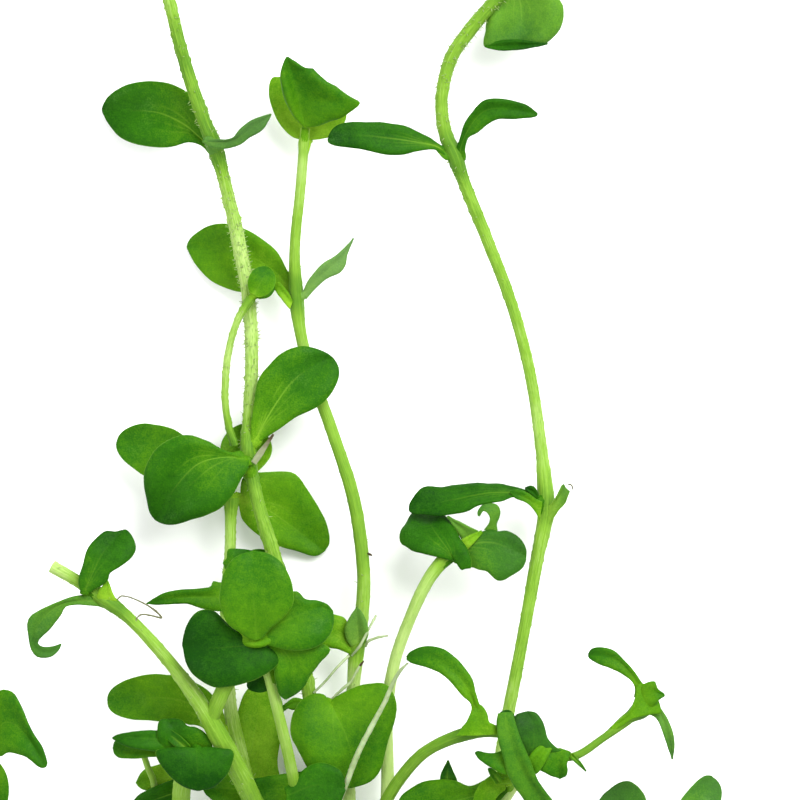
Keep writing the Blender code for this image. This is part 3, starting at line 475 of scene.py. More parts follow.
         (-72.7, -46.5), (-72.7, -48.7), (-71.5, -50.1), (-69.9, -50.3), (-68.6, -49.7), (-67.4, -48.5)],
        [(-58.4, -41.3), (-63, -40.8), (-66.2, -41.1), (-67.2, -43), (-69.2, -45.3), (-71.5, -47.3),
         (-72, -48.3), (-71.2, -49), (-69.3, -49), (-67.4, -48.5)],
        [(-58.8, -39.3), (-61.6, -38.9), (-64.2, -38.9), (-67.2, -39.7), (-70.1, -40.9), (-72.9, -42.3),
         (-74, -43.7), (-74.1, -45.1), (-73.8, -47.1), (-73.4, -49.3), (-72.2, -51), (-70.8, -51.3),
         (-69.3, -51), (-67.9, -49.7), (-67.4, -48.5)],
        heights=(25, 25.6, 21.8), lifts=(0.2, 0.3), tones_and_painted_light=(0.42, 0.36, 0.36), veins=0.3, dusty=0.1),
    OutlinedLeaf("far_left_leaf_a",
        [(-81.3, -67.2), (-78, -64), (-74.4, -66.6), (-70.4, -73)],
        [(-82.3, -64), (-81.1, -59.7), (-79.6, -57.7), (-77.6, -57.8), (-76.4, -58.7), (-73.6, -64.8),
         (-71.3, -68.8), (-70.1, -72), (-70.4, -73)],
        [(-82.3, -69.6), (-79.6, -71), (-78, -70.3), (-75.6, -70.6), (-74, -71.2), (-72.3, -72.7),
         (-71.2, -73.2), (-70.4, -73)],
        heights=(19, 22.4, 23.6), lifts=(0.2, 0.2), bulge=0.6, tones_and_painted_light=(0.35, 0.4, 0.35), veins=0.15),
    LooseLeaf("trailing_stem_leaf_a",
        [(15.1, -63.9), (14.5, -59.9), (13, -56.8), (10.6, -54), (7.4, -51.7), (4.1, -50.7), (1.3, -51.1)],
        [(12, -65.3), (13.4, -63.5), (14.3, -61.7), (14.1, -60.2), (12.4, -58.6), (10.4, -56.4), (8.2, -54.4),
         (5.3, -53.1), (2.3, -52.3), (1.3, -51.6)],
        [(17.7, -63.9), (17.1, -62.3), (15.7, -60.5), (14.9, -58.2), (14.3, -55.8), (12.8, -53.4),
         (11.2, -51.4), (8.8, -49.5), (6.2, -48.9), (4.1, -49.1), (2.1, -50), (1.2, -51)],
        heights=(25.6, 28.4, 25.8), lifts=(0.2, -0.2), tones_and_painted_light=(0.55, 0.45, 0.35), veins=0.2),
    LooseLeaf("trailing_stem_leaf_f",
        [(47.9, -58.7), (46.3, -55.2), (43.7, -52.2), (40.6, -50.9), (37.4, -50.8)],
        [(46.5, -59.3), (46.6, -56.9), (44.7, -54.8), (42, -53.4), (39.2, -52.4), (37.6, -51.4),
         (37.3, -50.8)],
        [(49.6, -57.7), (48.3, -56.3), (46.7, -54), (44.7, -51.8), (42.7, -49.9), (40.2, -49.2),
         (38.2, -49.4), (37.3, -50.5)],
        heights=(22, 24, 23), lifts=(0.1, 0.1), tones_and_painted_light=(0.5, 0.4, 0.35), veins=0.2),
    LooseLeaf("trailing_stem_leaf_g",
        [(50, -61.2), (51.8, -62.6), (52.8, -65.2), (53.6, -68.3), (54.2, -71.5)],
        [(51, -59.9), (52.4, -62), (53.5, -64), (54.3, -66.6), (54.5, -69.3), (54.2, -71.5)],
        [(49, -62.4), (50.8, -63.2), (52.1, -65.4), (53.1, -68.1), (54.2, -71.5)],
        heights=(22, 22.2, 20.6), lifts=(0.1, 0.1), bulge=0.2,
        tones_and_painted_light=(0.45, 0.45, 0.35), veins=0.1, dusty=0.15),
    OutlinedLeaf("front_right_leaf_a",
        [(20.8, -75.5), (16.3, -78.3), (10.2, -80), (4.1, -81.6), (-1.1, -82)],
        [(22, -77.5), (19.4, -80.4), (14.3, -84.8), (6.2, -85.7), (1.1, -84.4), (-1.1, -82.4)],
        [(19.8, -73.7), (18.2, -74.6), (16.3, -75.9), (13.7, -76.9), (10.9, -75.9), (7.6, -75.6),
         (4.8, -75.9), (2.1, -77.3), (0.1, -79), (-1.1, -81.6)],
        heights=(17.6, 15, 13.4), lifts=(0.2, 0.2), bulge=0.6, tones_and_painted_light=(0.4, 0.45, 0.4), veins=0.4),
    OutlinedLeaf("right_stem_leaf_b",
        [(9.8, 48.9), (7, 50.6), (2, 51.6), (-4, 52.4), (-10, 52.8), (-14.3, 52.2)],
        [(10.6, 47.3), (9.2, 48.4), (8.2, 49.3), (6.8, 49.9), (3, 49.4), (1, 49), (-2, 48.9), (-4.4, 49.2),
         (-8.4, 50), (-12.4, 50.6), (-14.2, 51.3), (-14.4, 52.2)],
        [(10.2, 49.9), (8.6, 50.7), (6.4, 52.2), (3.6, 53.6), (1, 54.6), (-2.4, 55.3), (-6.4, 55.6),
         (-10.4, 55.3), (-13, 54.4), (-14.4, 52.4)],
        heights=(9.8, 12, 13.2), lifts=(0.3, -0.9), bulge=0.4, tones_and_painted_light=(0.2, 0.2, 0.16), veins=0.6),
    OutlinedLeaf("right_stem_leaf_c",
        [(11.8, 48.2), (12.3, 51), (14, 54.6), (16.7, 57.6), (19.9, 58.2), (23.9, 57.8), (27.4, 56.9)],
        [(10.4, 49.2), (11.3, 50.5), (12.1, 52.4), (12.8, 55.2), (14, 57.2), (15.6, 59), (17.3, 60.1),
         (20.3, 60.1), (22.9, 59.6), (25.6, 58.6), (27.5, 57.2)],
        [(13.2, 47.9), (13, 49.4), (13.3, 51.4), (13.7, 52.3), (15.6, 53.3), (17.6, 54.8), (19.6, 55.8),
         (22.9, 56), (25.6, 56.3), (27.2, 56.6), (27.5, 57)],
        heights=(9.6, 12.4, 11.2), lifts=(0.5, -0.4), bulge=0.5, tones_and_painted_light=(0.2, 0.3, 0.26), veins=0.2),
    OutlinedLeaf("back_stem_leaf_e",
        [(-31.1, -75.7), (-29.7, -69.9), (-28.4, -62.9), (-27.6, -56.7)],
        [(-32.5, -75.5), (-33.3, -70.3), (-32.9, -64.9), (-31.9, -60.3), (-30.3, -57.5), (-27.6, -56.5)],
        [(-23.8, -75.9), (-24.4, -72.9), (-24.2, -69.5), (-23.6, -65.9), (-23.2, -62.3), (-24.2, -58.7),
         (-27.6, -56.5)],
        heights=(6.4, 6.8, 6.2), lifts=(0.2, 0.2), bulge=0.4, tones_and_painted_light=(0.7, 0.66, 0.86), veins=0.6),
    LooseLeaf("front_thin_stem_leaf",
        [(-22.7, -78.9), (-16.9, -76.7), (-11, -77.3)],
        [(-23.1, -77.1), (-21.5, -76.3), (-20.1, -74.3), (-18.3, -72.9), (-15.9, -72.2), (-13.5, -72.7),
         (-11.7, -74.1), (-11, -76.9)],
        [(-23.1, -82), (-17.9, -84), (-12.9, -82), (-10.8, -77.7)],
        heights=(15.8, 17.6, 17.4), lifts=(0, -0.3), bulge=0.4, tones_and_painted_light=(0.22, 0.2, 0.26), veins=0.1),
    OutlinedLeaf("middle_stem_leaf_c",
        [(-21.6, 21.8), (-24, 24.8), (-27.6, 27.6), (-32, 29), (-37, 30), (-42.6, 30.6)],
        [(-21.6, 19), (-23.3, 20.9), (-24.4, 21.8), (-26, 21.8), (-29, 21.5), (-32, 21.6), (-35.3, 22.5),
         (-38, 24), (-40, 26), (-41.6, 28.3), (-42.5, 30.1), (-42.7, 30.6)],
        [(-21.8, 25), (-22.6, 26.1), (-23.6, 28), (-24.6, 29.6), (-26, 31), (-28.3, 32.8), (-31.3, 34.3),
         (-34.3, 35.2), (-37, 35.1), (-39.3, 34.3), (-41.6, 32.6), (-42.5, 31.3), (-42.7, 30.6)],
        heights=(6.8, 3.2, 0.7), lifts=(0.3, 0.3), bulge=0.5, tones_and_painted_light=(0.66, 0.56, 0.54), veins=0.3),
    OutlinedLeaf("left_stem_leaf_a",
        [(-37.1, 49.9), (-39.9, 52.3), (-42.9, 54.9), (-47.9, 57.3), (-53.9, 57.9), (-59.5, 58.1)],
        [(-37.3, 47.9), (-38.3, 49.3), (-39.9, 50.8), (-42.3, 51.4), (-44.9, 50.7), (-47.3, 50.4),
         (-50.6, 50.6), (-53.6, 51.4), (-56.3, 52.9), (-58.3, 55.3), (-59.4, 57.5), (-59.5, 58.1)],
        [(-36.5, 51.9), (-38.3, 54.5), (-40.5, 58.5), (-42.3, 61.3), (-44.9, 62.8), (-47.3, 63.5),
         (-49.9, 63.7), (-52.9, 63.4), (-55.9, 62.4), (-58.3, 60.6), (-59.4, 58.7), (-59.5, 58.1)],
        heights=(9.6, 5.6, 0.8), lifts=(0.4, 0.4), bulge=0.5, tones_and_painted_light=(0.32, 0.42, 0.2), veins=0.8),
]

# Each leaf's tones hold painted light and shade as well as its green, and dusty paints a grey sheen.
SMALL_OUTLINED_LEAVES = [
    OutlinedLeaf("stem_node_leaf",
        [(14, -27.5), (12, -25.3), (9.4, -23.3)],
        [(13.2, -29.3), (12.2, -27.9), (10.6, -25.3), (9.4, -23.1)],
        [(15.7, -26.1), (14, -25.3), (12.4, -24.5), (9.4, -23.1)],
        heights=(11.6, 13.2, 13.6), lifts=(-0.4, 0.3), tones_and_painted_light=(0.6, 0.55, 0.5), dusty=0.15),
    LooseLeaf("hook_leaf",
        [(18.1, -26.1), (18.7, -24.3), (18.9, -22.7), (18.3, -21.5), (17.3, -21.3), (16.3, -21.9),
         (15.7, -23.1)],
        [(16.7, -25.9), (17.7, -24.5), (17.9, -23.5), (17.4, -22.5), (16.6, -22.1), (16.2, -22.5),
         (15.8, -23.2)],
        [(19.5, -26.1), (19.4, -24.7), (20, -23.3), (20.1, -22.1), (19.5, -20.9), (18.3, -20.5),
         (16.9, -20.6), (15.9, -21.6), (15.5, -22.5), (15.6, -23.2)],
        heights=(12.9, 14, 14.2), lifts=(0.2, -0.4), bulge=0.1, tones_and_painted_light=(0.45, 0.4, 0.4), dusty=0.1),
    OutlinedLeaf("axil_leaf",
        [(27.5, -19.5), (26.5, -18.3), (25.1, -17.5)],
        [(27.1, -19.9), (25.9, -18.7), (25.1, -18.1), (24.9, -17.6)],
        [(27.7, -19.1), (27.3, -17.9), (26.7, -17.3), (25.9, -17.1), (24.9, -17.5)],
        heights=(11, 12, 12.4), lifts=(0.3, 0.3), tones_and_painted_light=(0.2, 0.15, 0.15)),
    LooseLeaf("torn_leaf",
        [(29.3, -23.3), (31.1, -20.9), (33.1, -17.5)],
        [(28.9, -21.7), (30.3, -20.6), (31.6, -18.7), (32.6, -16.7)],
        [(29.7, -25.1), (31.3, -22.3), (32.9, -20.5), (33.9, -18.2)],
        heights=(10, 12.2, 13.4), lifts=(0.5, 0.5), bulge=-0.5,
        tones_and_painted_light=(0.85, 0.75, 0.5), veins=0.2, dusty=0.15),
    OutlinedLeaf("upright_leaf",
        [(-8.4, -48.7), (-8.4, -46.3), (-8.6, -43.7), (-8.6, -41.3)],
        [(-9.8, -49.1), (-10.8, -47.5), (-11.2, -45.5), (-10.2, -43.3), (-8.6, -41.3)],
        [(-6.8, -48.5), (-6.4, -46.5), (-6.8, -43.9), (-7.6, -42.1), (-8.6, -41.3)],
        heights=(10.6, 11.8, 12.6), lifts=(0.3, 0.3), bulge=0.4,
        tones_and_painted_light=(0.62, 0.6, 0.55), veins=0.6, dusty=0.2),
    LooseLeaf("low_block_leaf",
        [(-42.5, -70), (-44.1, -67.2), (-46.1, -63.5)],
        [(-47.3, -70), (-48.2, -67.6), (-48.2, -64.6), (-47.7, -63.6), (-46.1, -63.4)],
        [(-37, -70), (-37.6, -68), (-38.8, -66.2), (-40.5, -65.2), (-42.1, -65), (-43.3, -63.8),
         (-44.5, -63.4), (-46.1, -63.4)],
        heights=(23.8, 25, 24.4), lifts=(0.2, 0.2), bulge=0.4, tones_and_painted_light=(0.25, 0.3, 0.25)),
    LooseLeaf("low_left_leaf_b",
        [(-45.3, -67.6), (-49.7, -67.4), (-53.7, -67.2), (-57.2, -67.2)],
        [(-45.7, -70), (-49.7, -69.8), (-52.9, -69.2), (-55.7, -68.2), (-57.2, -67.3)],
        [(-45.7, -65.4), (-48.3, -65.6), (-49.7, -65.6), (-51.7, -65.8), (-54.9, -66.2), (-56.4, -66.6),
         (-57.2, -67.2)],
        heights=(24, 24.8, 23.6), lifts=(0.2, -0.6), bulge=0.4, tones_and_painted_light=(0.2, 0.2, 0.25), veins=0.1),
    LooseLeaf("low_left_leaf_c",
        [(-46.5, -69.2), (-50.5, -69.6), (-54.1, -69.6), (-57.1, -69.2)],
        [(-46.5, -72.8), (-47.7, -71.2), (-49.7, -70.9), (-51.7, -71.1), (-53.7, -71.2), (-55.9, -71.2),
         (-56.9, -70.4), (-57.1, -69.2)],
        [(-47.1, -67.8), (-51.7, -67.8), (-55.3, -67.6), (-56.7, -67.8), (-57.1, -69.2)],
        heights=(21.6, 22.2, 21.4), lifts=(-0.3, 0.2), tones_and_painted_light=(0.45, 0.4, 0.4), veins=0.1),
    LooseLeaf("pale_low_leaf",
        [(-45.1, -74.8), (-48.3, -75.4), (-50.7, -76), (-52.7, -76.4)],
        [(-45.3, -75.8), (-46.9, -76.6), (-48.5, -77.2), (-50.5, -77.9), (-51.9, -77.4), (-52.7, -76.4)],
        [(-46.7, -72.4), (-48.9, -73), (-50.5, -73.4), (-51.9, -74.6), (-52.7, -76.4)],
        heights=(9.6, 10.6, 10.2), lifts=(0.2, 0.2), tones_and_painted_light=(0.7, 0.65, 0.6), veins=0.6),
    LooseLeaf("low_left_leaf_d",
        [(-42.7, -77.7), (-47.4, -79.1), (-52.2, -80.9)],
        [(-41.9, -80.3), (-46.8, -82.9), (-50.8, -82.9), (-53.8, -81.3)],
        [(-44.8, -75.5), (-47.8, -76.7), (-49.8, -77.5), (-51.8, -78.5), (-53, -79.7), (-53.8, -81.1)],
        heights=(13, 13.8, 12), lifts=(0.1, 0.1), bulge=0.5, tones_and_painted_light=(0.2, 0.2, 0.3), veins=0.6),
    LooseLeaf("under_cluster_leaf",
        [(-24.2, -52.7), (-27, -54.8), (-30, -57.2)],
        [(-23.6, -53.3), (-23.6, -55), (-24.4, -56.4), (-26.2, -57.6), (-27.8, -58.1), (-30, -57.6)],
        [(-25.8, -52.1), (-28.6, -53.9), (-30.2, -55.6), (-30.4, -56.8), (-30, -57.6)],
        heights=(25.4, 25.8, 25), lifts=(0.1, 0.1), tones_and_painted_light=(0.1, 0.1, 0.08)),
    LooseLeaf("trailing_node_leaf",
        [(29.6, -68.5), (28, -70.5), (25.4, -74.3)],
        [(30.4, -68.9), (29, -71.3), (27.4, -73.9), (25.6, -74.7)],
        [(28.8, -68.1), (27, -69.5), (24.6, -72.5), (24.6, -74.1)],
        heights=(26.8, 27.2, 25.8), lifts=(0.1, 0.1), tones_and_painted_light=(0.5, 0.5, 0.45)),
    LooseLeaf("trailing_bud_leaf",
        [(31.8, -69.1), (31.4, -72.3), (31.8, -75.2)],
        [(34, -69.9), (33.4, -71.5), (33.1, -72.5), (33.3, -73.7), (33, -74.8), (31.8, -75.3)],
        [(29, -69.5), (28, -71.5), (27.8, -73.3), (28.8, -73.9), (30.2, -74.7), (31.8, -75.3)],
        heights=(26.2, 26.2, 25), lifts=(0.1, 0.1), bulge=0.4, tones_and_painted_light=(0.35, 0.35, 0.35), veins=0.1),
    LooseLeaf("tuft_leaf",
        [(-30.6, -38.1), (-31, -34.1), (-30.4, -29.8)],
        [(-34.5, -38.1), (-35.1, -35.7), (-34.7, -33.7), (-35.3, -32.3), (-34.5, -31.4), (-34.1, -29.6),
         (-32.3, -29.5), (-30.4, -29.7)],
        [(-26.2, -37.3), (-25.8, -34.1), (-26.2, -31.2), (-27.8, -30.2), (-30.4, -29.7)],
        heights=(30, 31.6, 31), lifts=(0.2, 0.2), bulge=0.4, tones_and_painted_light=(0.4, 0.35, 0.3), veins=0.1),
    LooseLeaf("cluster_node_leaf",
        [(-32.1, -46), (-28.6, -46.8), (-24.6, -46.4)],
        [(-31.9, -44), (-28.6, -44.2), (-25.8, -44.8), (-24.6, -46.2)],
        [(-31.9, -48.4), (-28.6, -49.2), (-25.8, -48.4), (-24.6, -46.6)],
        heights=(32.4, 33.4, 33), bulge=0.6, tones_and_painted_light=(0.7, 0.7, 0.65)),
    LooseLeaf("trailing_tip_flare",
        [(41.9, -65.4), (45.7, -62.6), (48.3, -60.2), (49.9, -57.3)],
        [(41.8, -65), (43.1, -64.1), (44.3, -63.1), (45.7, -61.8), (46.5, -59.6), (46.8, -58.1), (47, -56.7),
         (48.3, -56.3), (49.9, -57.2)],
        [(42.1, -65.8), (43.3, -65.2), (44.5, -64.5), (45.9, -63.6), (47.7, -63), (50.1, -62.6),
         (51.9, -62.3), (51.7, -60.4), (50.7, -58.5), (49.9, -57.3)],
        heights=(23, 23.8, 23.2), tones_and_painted_light=(0.6, 0.6, 0.58)),
    LooseLeaf("trailing_node_web",
        [(15.3, -66.7), (15.3, -63.6), (15.5, -60.4)],
        [(11.1, -66.7), (12.3, -65.3), (13.5, -63.6), (14.3, -61.8), (14.7, -60.5), (15.5, -60.3)],
        [(19.7, -66.5), (18.9, -64.6), (17.7, -64), (17.3, -62.4), (16.5, -61), (15.5, -60.3)],
        heights=(26.9, 27.1, 26.6), bulge=0.2, tones_and_painted_light=(0.6, 0.6, 0.58)),
    LooseLeaf("trailing_tip_star",
        [(48.3, -60.3), (50.4, -58.3), (52.6, -58.7)],
        [(47.5, -58.3), (48.3, -56.5), (50.6, -55.9), (51.2, -57.4), (52.6, -58.5)],
        [(49.6, -61.7), (51, -60.3), (51.6, -59.5), (52.6, -58.9)],
        heights=(23.4, 24.2, 23.8), lifts=(0.2, 0.1), tones_and_painted_light=(0.5, 0.5, 0.42)),
    LooseLeaf("curled_lip",
        [(16.8, 70.5), (20.9, 70.7), (24.9, 70.8), (29.5, 71.1)],
        [(16.9, 70.6), (19.3, 71.5), (22.7, 71.9), (25.7, 71.6), (28.5, 71.2), (29.5, 71.1)],
        [(17, 70.4), (19.3, 69.9), (23.3, 69.9), (27.3, 70.4), (29.5, 71)],
        heights=(10.3, 10.9, 10.4), lifts=(0.2, 0.2), tones_and_painted_light=(0.15, 0.15, 0.1)),
    LooseLeaf("stem_head_wedge",
        [(11.4, -29.9), (13.8, -28.1), (16.3, -26.1)],
        [(11, -28.7), (13.4, -27), (16.3, -26)],
        [(12.6, -30.9), (14.7, -28.7), (16.5, -26.5)],
        heights=(13.8, 14.3, 13.8), tones_and_painted_light=(0.85, 0.85, 0.7)),
    LooseLeaf("front_node_horn",
        [(-58.4, -40.1), (-58.3, -38.1), (-58.1, -35.9)],
        [(-60.4, -39.3), (-59.9, -37.9), (-59, -36.8), (-58.1, -35.9)],
        [(-56.2, -39.9), (-57, -38.3), (-57.6, -36.9), (-58.1, -35.9)],
        heights=(26.2, 26.9, 26.9), tones_and_painted_light=(0.9, 0.9, 0.85)),
    LooseLeaf("low_dark_leaf",
        [(-19.2, -78.2), (-24.7, -77.6), (-30.1, -78.4)],
        [(-19.2, -82.2), (-24.9, -83.4), (-28.9, -81.8), (-30.1, -78.6)],
        [(-19.2, -74), (-21.9, -74.4), (-24.9, -74.8), (-27.5, -75.2), (-29.5, -75.8), (-30.1, -78.2)],
        heights=(9.6, 10.2, 9.8), lifts=(0, -0.3), tones_and_painted_light=(0.4, 0.38, 0.38), veins=0.3),
    LooseLeaf("low_leaf_stalk",
        [(-19.2, -60.5), (-21.3, -60.6), (-24.3, -62.2)],
        [(-19.6, -61.2), (-21.3, -61.8), (-22.5, -61.6), (-24.1, -63.2)],
        [(-19.2, -59.7), (-20.5, -59.4), (-21.3, -59.4), (-22.9, -60.5), (-24.5, -61.6)],
        heights=(9.6, 9.8, 8.4), tones_and_painted_light=(0.5, 0.5, 0.45)),
    LooseLeaf("low_textured_leaf",
        [(-29.9, -77.8), (-34.3, -77.4), (-39.1, -77.4)],
        [(-29.9, -82.1), (-33.5, -82.1), (-36.7, -80.4), (-38.5, -78.8), (-39.2, -77.5)],
        [(-30.7, -73.4), (-34.3, -72.6), (-37.5, -73.2), (-39.2, -77.3)],
        heights=(11.4, 12.4, 11.6), lifts=(0.2, 0.2), bulge=0.4, tones_and_painted_light=(0.42, 0.42, 0.42), veins=0.4),
    LooseLeaf("right_stem_stalk",
        [(28.1, -22.1), (25.5, -19.9), (21.9, -18.3)],
        [(27.9, -24.1), (26.5, -21.7), (24.9, -20.4), (23.1, -19.7), (21.9, -18.5)],
        [(28.5, -20.3), (27.1, -19.6), (25.5, -18.5), (23.7, -17.8), (21.9, -18.1)],
        heights=(12, 13, 12.8), tones_and_painted_light=(0.54, 0.54, 0.4), veins=0.3),
    LooseLeaf("middle_node_stalk",
        [(-21.6, 19), (-23.1, 21.2), (-25, 22.6)],
        [(-22, 18.1), (-22.7, 18.9), (-23.8, 20.2), (-24.5, 21), (-25, 22.3)],
        [(-21.4, 19.7), (-22.1, 21.2), (-23.2, 22.7), (-24.3, 23.6), (-25, 22.7)],
        heights=(9.3, 9.7, 9.5), tones_and_painted_light=(1, 0.7, 0.85), veins=0.2),
]

SMALL_LEAVES = SMALL_OUTLINED_LEAVES + [
    Leaf("tip_leaf_left", [(-49.4, 92.2, 13.4), (-52.4, 94, 14.6), (-56, 94.6, 14.4)],
         (2.2, 0.5, 0.5), (2.2, 0.5, 0.5), tones_and_painted_light=(0.5, 0.5, 0.5)),
    Leaf("tip_leaf_right", [(-47.8, 92.4, 13), (-45.6, 94.4, 13.6), (-42.6, 95.8, 13)],
         (1.9, 0.5, 0.5), (1.9, 0.5, 0.5), tones_and_painted_light=(0.55, 0.55, 0.5)),
    Leaf("tip_bud", [(-48.8, 92.6, 13.4), (-49.2, 94.6, 14.2), (-49, 96.2, 14.6)],
         (0.9, 0.4, 0.5), (0.9, 0.4, 0.5), tones_and_painted_light=(0.6, 0.6, 0.6)),
    Leaf("top_leaf", [(23, 84.2, 12.6), (26, 86.8, 12), (30, 88.8, 10.6)],
         (3.3, 0.5, 0.5), (3.5, 0.5, 0.5), tones_and_painted_light=(0.4, 0.4, 0.4)),
    Leaf("top_bud", [(22.5, 84, 13), (22.8, 86.2, 13.8), (22.4, 88, 14)],
         (0.9, 0.4, 0.5), (0.9, 0.4, 0.5), tones_and_painted_light=(0.6, 0.6, 0.6)),
    Leaf("shoot_leaf_back", [(-28.8, 20.8, 11), (-26.6, 21.9, 10.6), (-25.5, 24.7, 10)],
         (1.6, 0.5, 0.6), (1.3, 0.5, 0.6), tones_and_painted_light=(0.42, 0.4, 0.35)),
    Leaf("dark_sliver", [(9.8, -77.6, 14), (9.4, -74.6, 14.6), (9.6, -71.8, 14.6)],
         (1.7, 0.25, 0.9), (2, 0.25, 0.9), tones_and_painted_light=(0.08, 0.08, 0.1)),
    Leaf("fork_spike", [(34, -70.6, 24.8), (35.6, -72.2, 25), (37, -73.8, 24.4)],
         (0.5, 0.3, 0.8), (0.5, 0.3, 0.8), stalk=(0.5, 0.5), tones_and_painted_light=(0.4, 0.4, 0.35)),
    Leaf("fork_bud", [(19.8, -76, 22), (18.6, -74.4, 23), (17.6, -73.2, 23.4)],
         (0.8, 0.4, 0.5), (0.8, 0.4, 0.5), tones_and_painted_light=(0.4, 0.4, 0.35)),
    Leaf("trailing_node_bud", [(16.4, -64.6, 26), (16.4, -63, 26.8), (16.2, -61.9, 27)],
         (0.8, 0.4, 0.5), (0.9, 0.4, 0.5), tones_and_painted_light=(0.55, 0.55, 0.5)),
    Leaf("low_left_stub", [(-42, -69.6, 25.2), (-44.4, -67.6, 25.4), (-47.4, -65.2, 24.6)],
         (1.2, 0.4, 0.6), (1.2, 0.4, 0.6), tones_and_painted_light=(0.2, 0.2, 0.2), sheath=False),
]

SMALL_STEMS = [
    Stem("low_thin_stem", [(-51.1, -70.3, 20, 0.6), (-50.2, -73.2, 17, 0.62), (-49.3, -75.4, 14, 0.65),
                           (-48.6, -78.6, 9, 0.7), (-45.6, -84.4, 4.6, 0.8),
                           (-38, -90, 2.6, 0.85)], tones_and_painted_light=(0.65, 0.75), rough=0.3),
]

DRIED_BRACT = Leaf("dried_bract", [(-29.2, -12.6, 14.2), (-27.4, -10, 15.2), (-25.2, -6.8, 15.4)],
                   (0.5, 0.4, 0.8), (0.5, 0.4, 0.8), cup=50, stalk=(0.4, 0.4), tones_and_painted_light=(0, 0, 1.4),
                   veins=0, sheath=False)

DRIED_STRANDS = [
    Stem("node_curl", [(33.6, -16.8, 13.2, 0.16), (34.2, -17, 13.9, 0.15), (34.5, -17.9, 13.6, 0.12)],
         tones_and_painted_light=(0.8, 0.8)),
    Stem("stem_speck", [(-6.4, -30.6, 9, 0.2), (-6, -30.8, 9.2, 0.22), (-5.6, -31, 9, 0.14)],
         tones_and_painted_light=(1.2, 1.2)),
    Stem("brown_filament", [
        (-56.6, -40.2, 25.6, 0.14), (-55.2, -38.9, 25.4, 0.15), (-50.2, -40.8, 25, 0.17),
        (-47.4, -43.2, 25.2, 0.18), (-49.6, -42.8, 25.8, 0.16), (-51.2, -42.6, 26.3, 0.15),
        (-52.2, -43.2, 26.7, 0.13), (-52.6, -44.6, 26.9, 0.09)], tones_and_painted_light=(0.5, 0.7, 0.6)),
    Stem("root_tip", [(-8, -53, 13, 0.2), (-7.6, -52.5, 13.2, 0.22), (-7.2, -52, 13.2, 0.14)],
         tones_and_painted_light=(1.1, 1.1)),
]

ROOTS = [
    Stem("upper_root", [(-4.8, -43, 9.8, 0.22), (-6.2, -45.6, 11.6, 0.24), (-8, -49, 12, 0.25),
                        (-9.6, -51, 10.6, 0.2)]),
    Stem("curled_root", [(-2.4, -47, 11.4, 0.18), (-4.6, -47.4, 11.6, 0.26), (-6.4, -48.2, 11.4, 0.28),
                         (-6.8, -49.2, 10.6, 0.2)]),
    Stem("left_root", [(-10.2, -51, 10.6, 0.26), (-12.6, -53.4, 11.4, 0.23), (-14.8, -56, 11.4, 0.24),
                       (-17.2, -58.4, 10.6, 0.2)]),
    Stem("lower_root", [(-7.8, -52.6, 11, 0.2), (-8.8, -54.4, 12, 0.25), (-10, -56.4, 12.4, 0.26),
                        (-11.4, -57.6, 12.4, 0.26), (-14, -60, 11.4, 0.18)]),
    Stem("front_root", [(1.5, -52.3, 24.8, 0.2), (0, -53.9, 23.6, 0.35), (-1.4, -56.3, 22.6, 0.4),
                        (-3, -60, 21, 0.45), (-6, -65.6, 19, 0.5), (-8.4, -70.4, 18, 0.55),
                        (-10.4, -75.6, 16.6, 0.55), (-12, -80, 14, 0.55), (-13, -88, 7, 0.5)]),
]

FLOOR_ROOT_COUNT = 22
FLOOR_ROOT_BENDS = 5
FLOOR_ROOT_SEED = 11
FLOOR_ROOT_START = 1.2
FLOOR_ROOT_HEADINGS = (-150, -30)
FLOOR_ROOT_TURN = 0.7
FLOOR_ROOT_STRIDES = (1.1, 1.9)
FLOOR_ROOT_RADIUS = 0.34
FLOOR_ROOT_TAPER = 0.05
FLOOR_ROOT_DROP = 0.5
FLOOR_ROOT_SQUEEZE = 0.9


def floor_roots():
    """Return short roots that leave the rootstock's underside and wander over the floor."""
    chance = random.Random(FLOOR_ROOT_SEED)
    rootstock = STEMS[0]
    roots = []
    for number in range(FLOOR_ROOT_COUNT):
        start = smooth_route([point[:3] for point in rootstock.route], (number + 0.5) / FLOOR_ROOT_COUNT)
        heading = math.radians(chance.uniform(*FLOOR_ROOT_HEADINGS))
        place, route = Vector((start.x, start.y, FLOOR_ROOT_START)), []
        for bend in range(FLOOR_ROOT_BENDS):
            radius = FLOOR_ROOT_RADIUS - FLOOR_ROOT_TAPER * bend
            route.append((place.x, place.y, max(place.z, radius + TABLE_GAP), radius))
            heading += chance.uniform(-FLOOR_ROOT_TURN, FLOOR_ROOT_TURN)
            stride = chance.uniform(*FLOOR_ROOT_STRIDES)
            place += Vector((stride * math.cos(heading), stride * math.sin(heading) * FLOOR_ROOT_SQUEEZE,
                             -FLOOR_ROOT_DROP))
        roots.append(Stem(f"floor_root_{number + 1}", route))
    return roots


def math_method(operation, turned=False):
    """Return a method that feeds a number and others to a math node, in turned order if asked."""

    def method(self, *others):
        parts = (self, *others)
        return self.graph.node("ShaderNodeMath", {"operation": operation},
                               dict(enumerate(parts[::-1] if turned else parts)))

    return method


